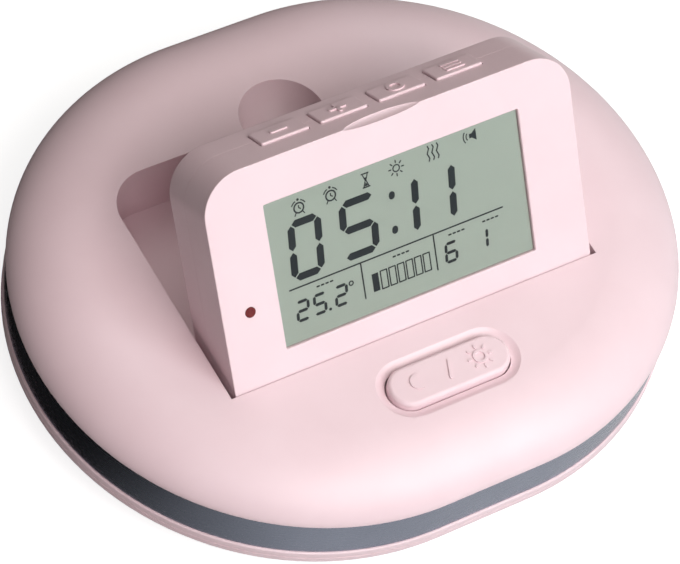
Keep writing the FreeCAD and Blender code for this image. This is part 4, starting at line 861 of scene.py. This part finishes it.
def time_marks():
    """The large digits of the time, and the colon between them."""
    foot, height, thick = 21.4, 12.8, 1.55
    marks = []
    for number, x, width in ((0, -24.9, 7.4), (5, -13.6, 8.4), (1, -2.2, 6.4), (1, 6.2, 6.4)):
        marks += segment_digit(number, x, foot, width, height, thick)
    for x, v in ((-1.4, 24.25), (-1.0305, 31.64)):
        marks.append(stroke(x, v - 0.2, x + 0.05, v + 0.2, 1.3))
    return marks


def lower_marks():
    """The rules, and under them the temperature, seven squares for the weekday, and the date."""
    rule, line = 20.1, 0.3
    marks = [stroke(-25.68, rule, 22.72, rule + 0.15, line)]
    for x in (-9.87, 6.64):
        marks.append(stroke(x, rule - 0.2, x, 12.3, line))
    for x in (-18.31, -1.15, 11.61, 19.45):
        starts = [x - 1.5 + k for k in range(4)]
        marks += [stroke(start, rule - 1.35, start + 0.45, rule - 1.35, 0.34) for start in starts]
    foot, width, height, thick = 12.7, 3.0, 4.6, 0.62
    for number, x in ((2, -25.2), (5, -21.4), (2, -16.6), (6, 8.5), (1, 15.6)):
        marks += segment_digit(number, x, foot, width, height, thick)
    marks.append(stroke(-17.75, foot + 0.3, -17.7, foot + 0.3, 0.6))
    marks.append(tube_ring(-12.5, foot + 4.0, 0.45, 0.26, ink_foot, ink_rise, count=12))
    square_x, square_v, pitch, square_width, square_height = -7.9, foot + 0.2, 1.95, 1.45, 3.9
    for k in range(7):
        x = square_x + k * pitch
        outline = rectangle(x, x + square_width, square_v, square_v + square_height)
        if k == 0:
            marks.append(flat_shape(outline))
        else:
            marks += [stroke(*outline[i], *outline[(i + 1) % 4], 0.26) for i in range(4)]
    return marks


def make_display_picture():
    """The pane, the glass behind it and everything that the liquid crystal shows."""
    marks = icon_marks() + time_marks() + lower_marks()
    piece("display_marks", joined(*marks), "panel", lcd_ink, place=panel_place)

    margin, corner, glass_depth, pane_back = 0.12, 0.3, 1.7, 0.66
    plan = rectangle(-window_half + margin, window_half - margin, window_low + margin, window_high - margin,
                     corner, 3)
    glass = prism(plan, panel_front - glass_depth, ink_foot)
    piece("display_glass", glass, "panel", lcd_grey, place=panel_place)
    clear = prism(plan, panel_front - pane_back, lens_front)
    soften(clear, 0.08, always, 2, 50)
    piece("display_pane", clear, "panel", pane, ["display_window"], panel_place)


# Wheels, caster, screws and small parts

def ring_loop(x, y, z, radii):
    """A loop round an axis along X, with one radius per point."""
    turns = [2 * math.pi * k / len(radii) for k in range(len(radii))]
    return [(x, y + radius * math.cos(turn), z + radius * math.sin(turn))
            for radius, turn in zip(radii, turns)]


def tread(radius, depth, blocks=30, steps=6):
    """Radii round a tyre whose blocks stand between narrow grooves."""
    return [radius - (depth if k % steps == 0 else 0.0) for k in range(blocks * steps)]


def make_tyres():
    """The tyres of the drive wheels, with grooves across their tread."""
    depth, round_edge, chamfer = 2.4, 0.8, 0.25
    groove, edge_groove = 0.45, 0.3
    for side in ("left", "right"):
        low, high = extent(f"{side}_tyre")
        y, z = (low.y + high.y) / 2, (low.z + high.z) / 2
        outer = (high.z - low.z) / 2
        inner = outer - depth
        rows = [(low.x, inner, 0.0), (low.x, outer - round_edge, 0.0),
                (low.x + chamfer, outer - chamfer, edge_groove), (low.x + round_edge, outer, groove),
                (high.x - round_edge, outer, groove), (high.x - chamfer, outer - chamfer, edge_groove),
                (high.x, outer - round_edge, 0.0), (high.x, inner, 0.0)]
        loops = [ring_loop(x, y, z, tread(radius, cut)) for x, radius, cut in rows]
        piece(f"{side}_tyre_tread", ringed(loops, caps=False), f"{side}_drive_wheel", rubber,
              [f"{side}_tyre"], crease=30)


def polished(node, body, material, width):
    """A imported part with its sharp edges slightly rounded."""
    skin = soften(cad_copy(node), width, always, 2, 45)
    return piece(f"{node}_skin", skin, body, material, [node])


def cross_recess(x, y, face, turn):
    """A cross-shaped driver recess, cut upward from a screw head's face."""
    reach, half, depth, below = 1.25, 0.24, 0.8, 0.5
    place = Matrix.Translation((x, y, 0)) @ Matrix.Rotation(math.radians(turn), 4, "Z")
    return [moved(prism(rectangle(-a, a, -b, b), face - below, face + depth), place)
            for a, b in ((reach, half), (half, reach))]


def screw(x, y, face, shank_top, turn):
    """A pan-head screw that points up from its face."""
    head, head_radius, shank_radius, overlap = 1.3, 2.1, 1.06, 0.2
    head_levels = [(face, 1.5), (face + 0.1, 1.9), (face + 0.35, head_radius), (face + head, head_radius)]
    shank_levels = [(face + head - overlap, shank_radius), (shank_top, shank_radius)]
    pan = carve(lathe(head_levels, (x, y, 0), "Z", 32), *cross_recess(x, y, face, turn))
    return joined(pan, lathe(shank_levels, (x, y, 0), "Z", 20))


def make_screws():
    """The screws of the case and of the panel, each set left at its own turn."""
    low, high = extent("case_screws")
    case_spots = [(-46.0, -30.0), (46.0, -30.0), (-40.0, 38.0), (40.0, 38.0)]
    screws = [screw(x, y, low.z, high.z, 17 + 40 * i) for i, (x, y) in enumerate(case_spots)]
    piece("case_screw_set", joined(*screws), "base", steel, ["case_screws"])
    head_face, shank_top = panel_back + 0.1, panel_front - wall - 1.5
    screws = [screw(x, v, head_face, shank_top, 10 + 35 * i) for i, (x, v) in enumerate(display_screw_spots)]
    piece("display_screw_set", joined(*screws), "panel", steel, ["display_screws"], panel_place)


def make_battery_door():
    """The door with softened edges and finger grooves by its opening edge."""
    low = extent("battery_door")[0]
    half_length, first, pitch, width = 9.0, 13.6, 1.1, 0.5
    starts = [low.y + first - pitch * k for k in range(3)]
    grooves = [prism(rectangle(-half_length, half_length, y, y + width, 0.2, 2), low.z - 0.5, low.z + 0.3)
               for y in starts]
    skin = carve(cad_copy("battery_door"), *grooves)
    soften(skin, 0.3, level(low.z), 3, 45)
    piece("battery_door_skin", skin, "battery_door", pink_plastic, ["battery_door"])


# Node materials for the CAD parts that stay

def dress_nodes():
    """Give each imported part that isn't rebuilt here its material."""
    finishes = {
        steel: ["left_axle", "right_axle", "left_motor_shaft", "right_motor_shaft", "left_idler_pin",
                "right_idler_pin", "caster_pin", "hinge_pins", "crystal", "battery_springs", "battery_plates",
                "case_screws", "display_screws"],
        zinc: ["left_motor", "right_motor"],
        brass: ["left_pinion", "right_pinion", "hinge_bushings"],
        white_nylon: ["left_idler", "right_idler", "left_wheel", "right_wheel", "caster_wheel"],
        rubber: ["left_tyre", "right_tyre", "rear_glides"],
        board_green: ["main_board", "snooze_board", "display_board"],
        black_plastic: ["controller_chip", "snooze_switch", "key_switches", "power_switch", "power_knob",
                        "speaker_basket", "capacitors", "caster_fork"],
        cone_paper: ["speaker_cone"],
        magnet_grey: ["speaker_magnet"],
        cell_wrap: ["battery_cells"],
        pink_plastic: ["battery_door"],
        lcd_grey: ["lcd_cell"],
        light_guide: ["backlight"],
        amber: ["indicator_lens"],
        lamp_white: ["indicator_led"],
    }
    for material, names in finishes.items():
        for name in names:
            mesh = frame["nodes"][name].data
            mesh.materials.clear()
            mesh.materials.append(material)


# Studio: floor, lights and camera

def make_floor():
    """A floor that keeps the object's shadow and shows as white to the camera.

    Glossy rays see a painted reflection on it: the floor is nearly black to them and glows from nothing at
    the left rear to bright at the right front, so metal shows painted light on one side and painted shade on
    the other.
    """
    # painted reflection: to glossy rays the floor's colour is almost black, and its glow rises toward the
    # right front
    bright_side = (0.74, -0.67, 0.0)
    dark_end, bright_end = -0.050, 0.030
    painted_reflection_glow, camera_glow = 0.75, 0.8
    tone_lit, tone_glossy = 0.45, 0.02
    half_size = 4.0
    material, nodes, links, shader = new_material("studio_floor")
    shader.inputs["Roughness"].default_value = 0.9
    shader.inputs["Specular IOR Level"].default_value = 0.1
    coordinates = nodes.new("ShaderNodeTexCoord")
    across = nodes.new("ShaderNodeVectorMath")
    across.operation = "DOT_PRODUCT"
    across.inputs[1].default_value = bright_side
    links.new(coordinates.outputs["Object"], across.inputs[0])
    # painted reflection: how much the floor glows for glossy rays, by its place along the bright side
    painted_reflection_fade = nodes.new("ShaderNodeMapRange")
    painted_reflection_fade.interpolation_type = "SMOOTHSTEP"
    painted_reflection_fade.inputs["From Min"].default_value = dark_end
    painted_reflection_fade.inputs["From Max"].default_value = bright_end
    painted_reflection_fade.inputs["To Min"].default_value = 0.0
    painted_reflection_fade.inputs["To Max"].default_value = painted_reflection_glow
    links.new(across.outputs["Value"], painted_reflection_fade.inputs["Value"])
    path = nodes.new("ShaderNodeLightPath")
    tone = nodes.new("ShaderNodeMix")
    tone.data_type = "RGBA"
    tone.inputs["A"].default_value = grey(tone_lit)
    tone.inputs["B"].default_value = grey(tone_glossy)
    links.new(path.outputs["Is Glossy Ray"], tone.inputs["Factor"])
    links.new(tone.outputs["Result"], shader.inputs["Base Color"])
    glossy = nodes.new("ShaderNodeMath")
    glossy.operation = "MULTIPLY"
    links.new(path.outputs["Is Glossy Ray"], glossy.inputs[0])
    links.new(painted_reflection_fade.outputs["Result"], glossy.inputs[1])
    lift = nodes.new("ShaderNodeMath")
    lift.operation = "MULTIPLY_ADD"
    lift.inputs[1].default_value = camera_glow
    links.new(path.outputs["Is Camera Ray"], lift.inputs[0])
    links.new(glossy.outputs["Value"], lift.inputs[2])
    shader.inputs["Emission Color"].default_value = grey(1.0)
    links.new(lift.outputs["Value"], shader.inputs["Emission Strength"])
    bm = bmesh.new()
    corners = rectangle(-half_size, half_size, -half_size, half_size)
    bm.faces.new([bm.verts.new((x, y, 0.0)) for x, y in corners])
    mesh = bpy.data.meshes.new("studio_floor")
    bm.to_mesh(mesh)
    bm.free()
    floor = bpy.data.objects.new("studio_floor", mesh)
    bpy.context.scene.collection.objects.link(floor)
    mesh.materials.append(material)


def make_world():
    """White to the camera, and a dim warm fill to everything else."""
    fill_colour, fill_strength = (1.0, 0.74, 0.62, 1.0), 0.03
    world = bpy.data.worlds.new("studio_world")
    bpy.context.scene.world = world
    world.use_nodes = True
    nodes, links = world.node_tree.nodes, world.node_tree.links
    background = nodes["Background"]
    tint = nodes.new("ShaderNodeMix")
    tint.data_type = "RGBA"
    tint.inputs["A"].default_value = fill_colour
    tint.inputs["B"].default_value = grey(1.0)
    links.new(tint.outputs["Result"], background.inputs["Color"])
    path = nodes.new("ShaderNodeLightPath")
    strength = nodes.new("ShaderNodeMapRange")
    strength.inputs["To Min"].default_value = fill_strength
    strength.inputs["To Max"].default_value = 1.0
    links.new(path.outputs["Is Camera Ray"], strength.inputs["Value"])
    links.new(path.outputs["Is Camera Ray"], tint.inputs["Factor"])
    links.new(strength.outputs["Result"], background.inputs["Strength"])


def area_light(name, azimuth, elevation, size, power, colour):
    """A round soft lamp one metre away; azimuth runs from +X toward +Y, in degrees."""
    flat, rise = math.radians(azimuth), math.radians(elevation)
    toward = Vector((math.cos(flat) * math.cos(rise), math.sin(flat) * math.cos(rise), math.sin(rise)))
    light = bpy.data.lights.new(name, "AREA")
    light.shape = "DISK"
    light.size = size
    light.energy = power
    light.color = colour
    obj = bpy.data.objects.new(name, light)
    obj.location = toward + Vector((0.0, 0.0, 0.02))
    obj.rotation_mode = "QUATERNION"
    obj.rotation_quaternion = toward.to_track_quat("Z", "Y")
    bpy.context.scene.collection.objects.link(obj)


def make_lights():
    """Two large lamps in front, a cool low one between them, and one behind."""
    area_light("high_light", -66, 50, 0.8, 6.0, (1.0, 1.0, 0.96))
    area_light("front_light", -102, 42, 0.8, 5.4, (1.0, 0.93, 0.94))
    area_light("key_light", -55, 25, 0.5, 1.8, (0.6, 0.95, 1.0))
    area_light("rear_light", 50, 60, 1.2, 3.2, (1.0, 0.97, 0.94))


def make_camera():
    """The photograph's camera: fitted place, direction and roll."""
    azimuth, elevation, roll = (math.radians(angle) for angle in (-42.021, 55.287, 15.052))
    place = Vector((-274.99, -305.46, 602.36)) * MM
    focal_pixels, picture_width = 3530.085, 680.0
    back = Vector((math.sin(azimuth) * math.cos(elevation), -math.cos(azimuth) * math.cos(elevation),
                   math.sin(elevation)))
    right = (-back).cross(Vector((0, 0, 1))).normalized()
    up = right.cross(-back)
    turned_right = math.cos(roll) * right + math.sin(roll) * up
    turned_up = math.cos(roll) * up - math.sin(roll) * right
    data = bpy.data.cameras.new("photo_camera")
    data.sensor_width = 36.0
    data.lens = focal_pixels * data.sensor_width / picture_width
    data.clip_end = 20.0
    camera = bpy.data.objects.new("photo_camera", data)
    rotation = Matrix((turned_right, turned_up, back)).transposed()
    camera.matrix_world = Matrix.Translation(place) @ rotation.to_4x4()
    bpy.context.scene.collection.objects.link(camera)
    bpy.context.scene.camera = camera


make_camera()
make_world()
make_lights()
make_floor()
dress_nodes()
make_top_shell()
make_band()
make_bottom_shell()
make_snooze()
make_front_shell()
make_back_shell()
make_keys()
make_display_picture()
make_tyres()
make_screws()
make_battery_door()
polished("caster_fork", "caster_swivel", black_plastic, 0.25)
polished("caster_wheel", "caster_roller", white_nylon, 0.35)
polished("rear_glides", "base", rubber, 0.3)
polished("power_knob", "power_knob", black_plastic, 0.25)
bpy.context.scene.view_settings.view_transform = "Standard"
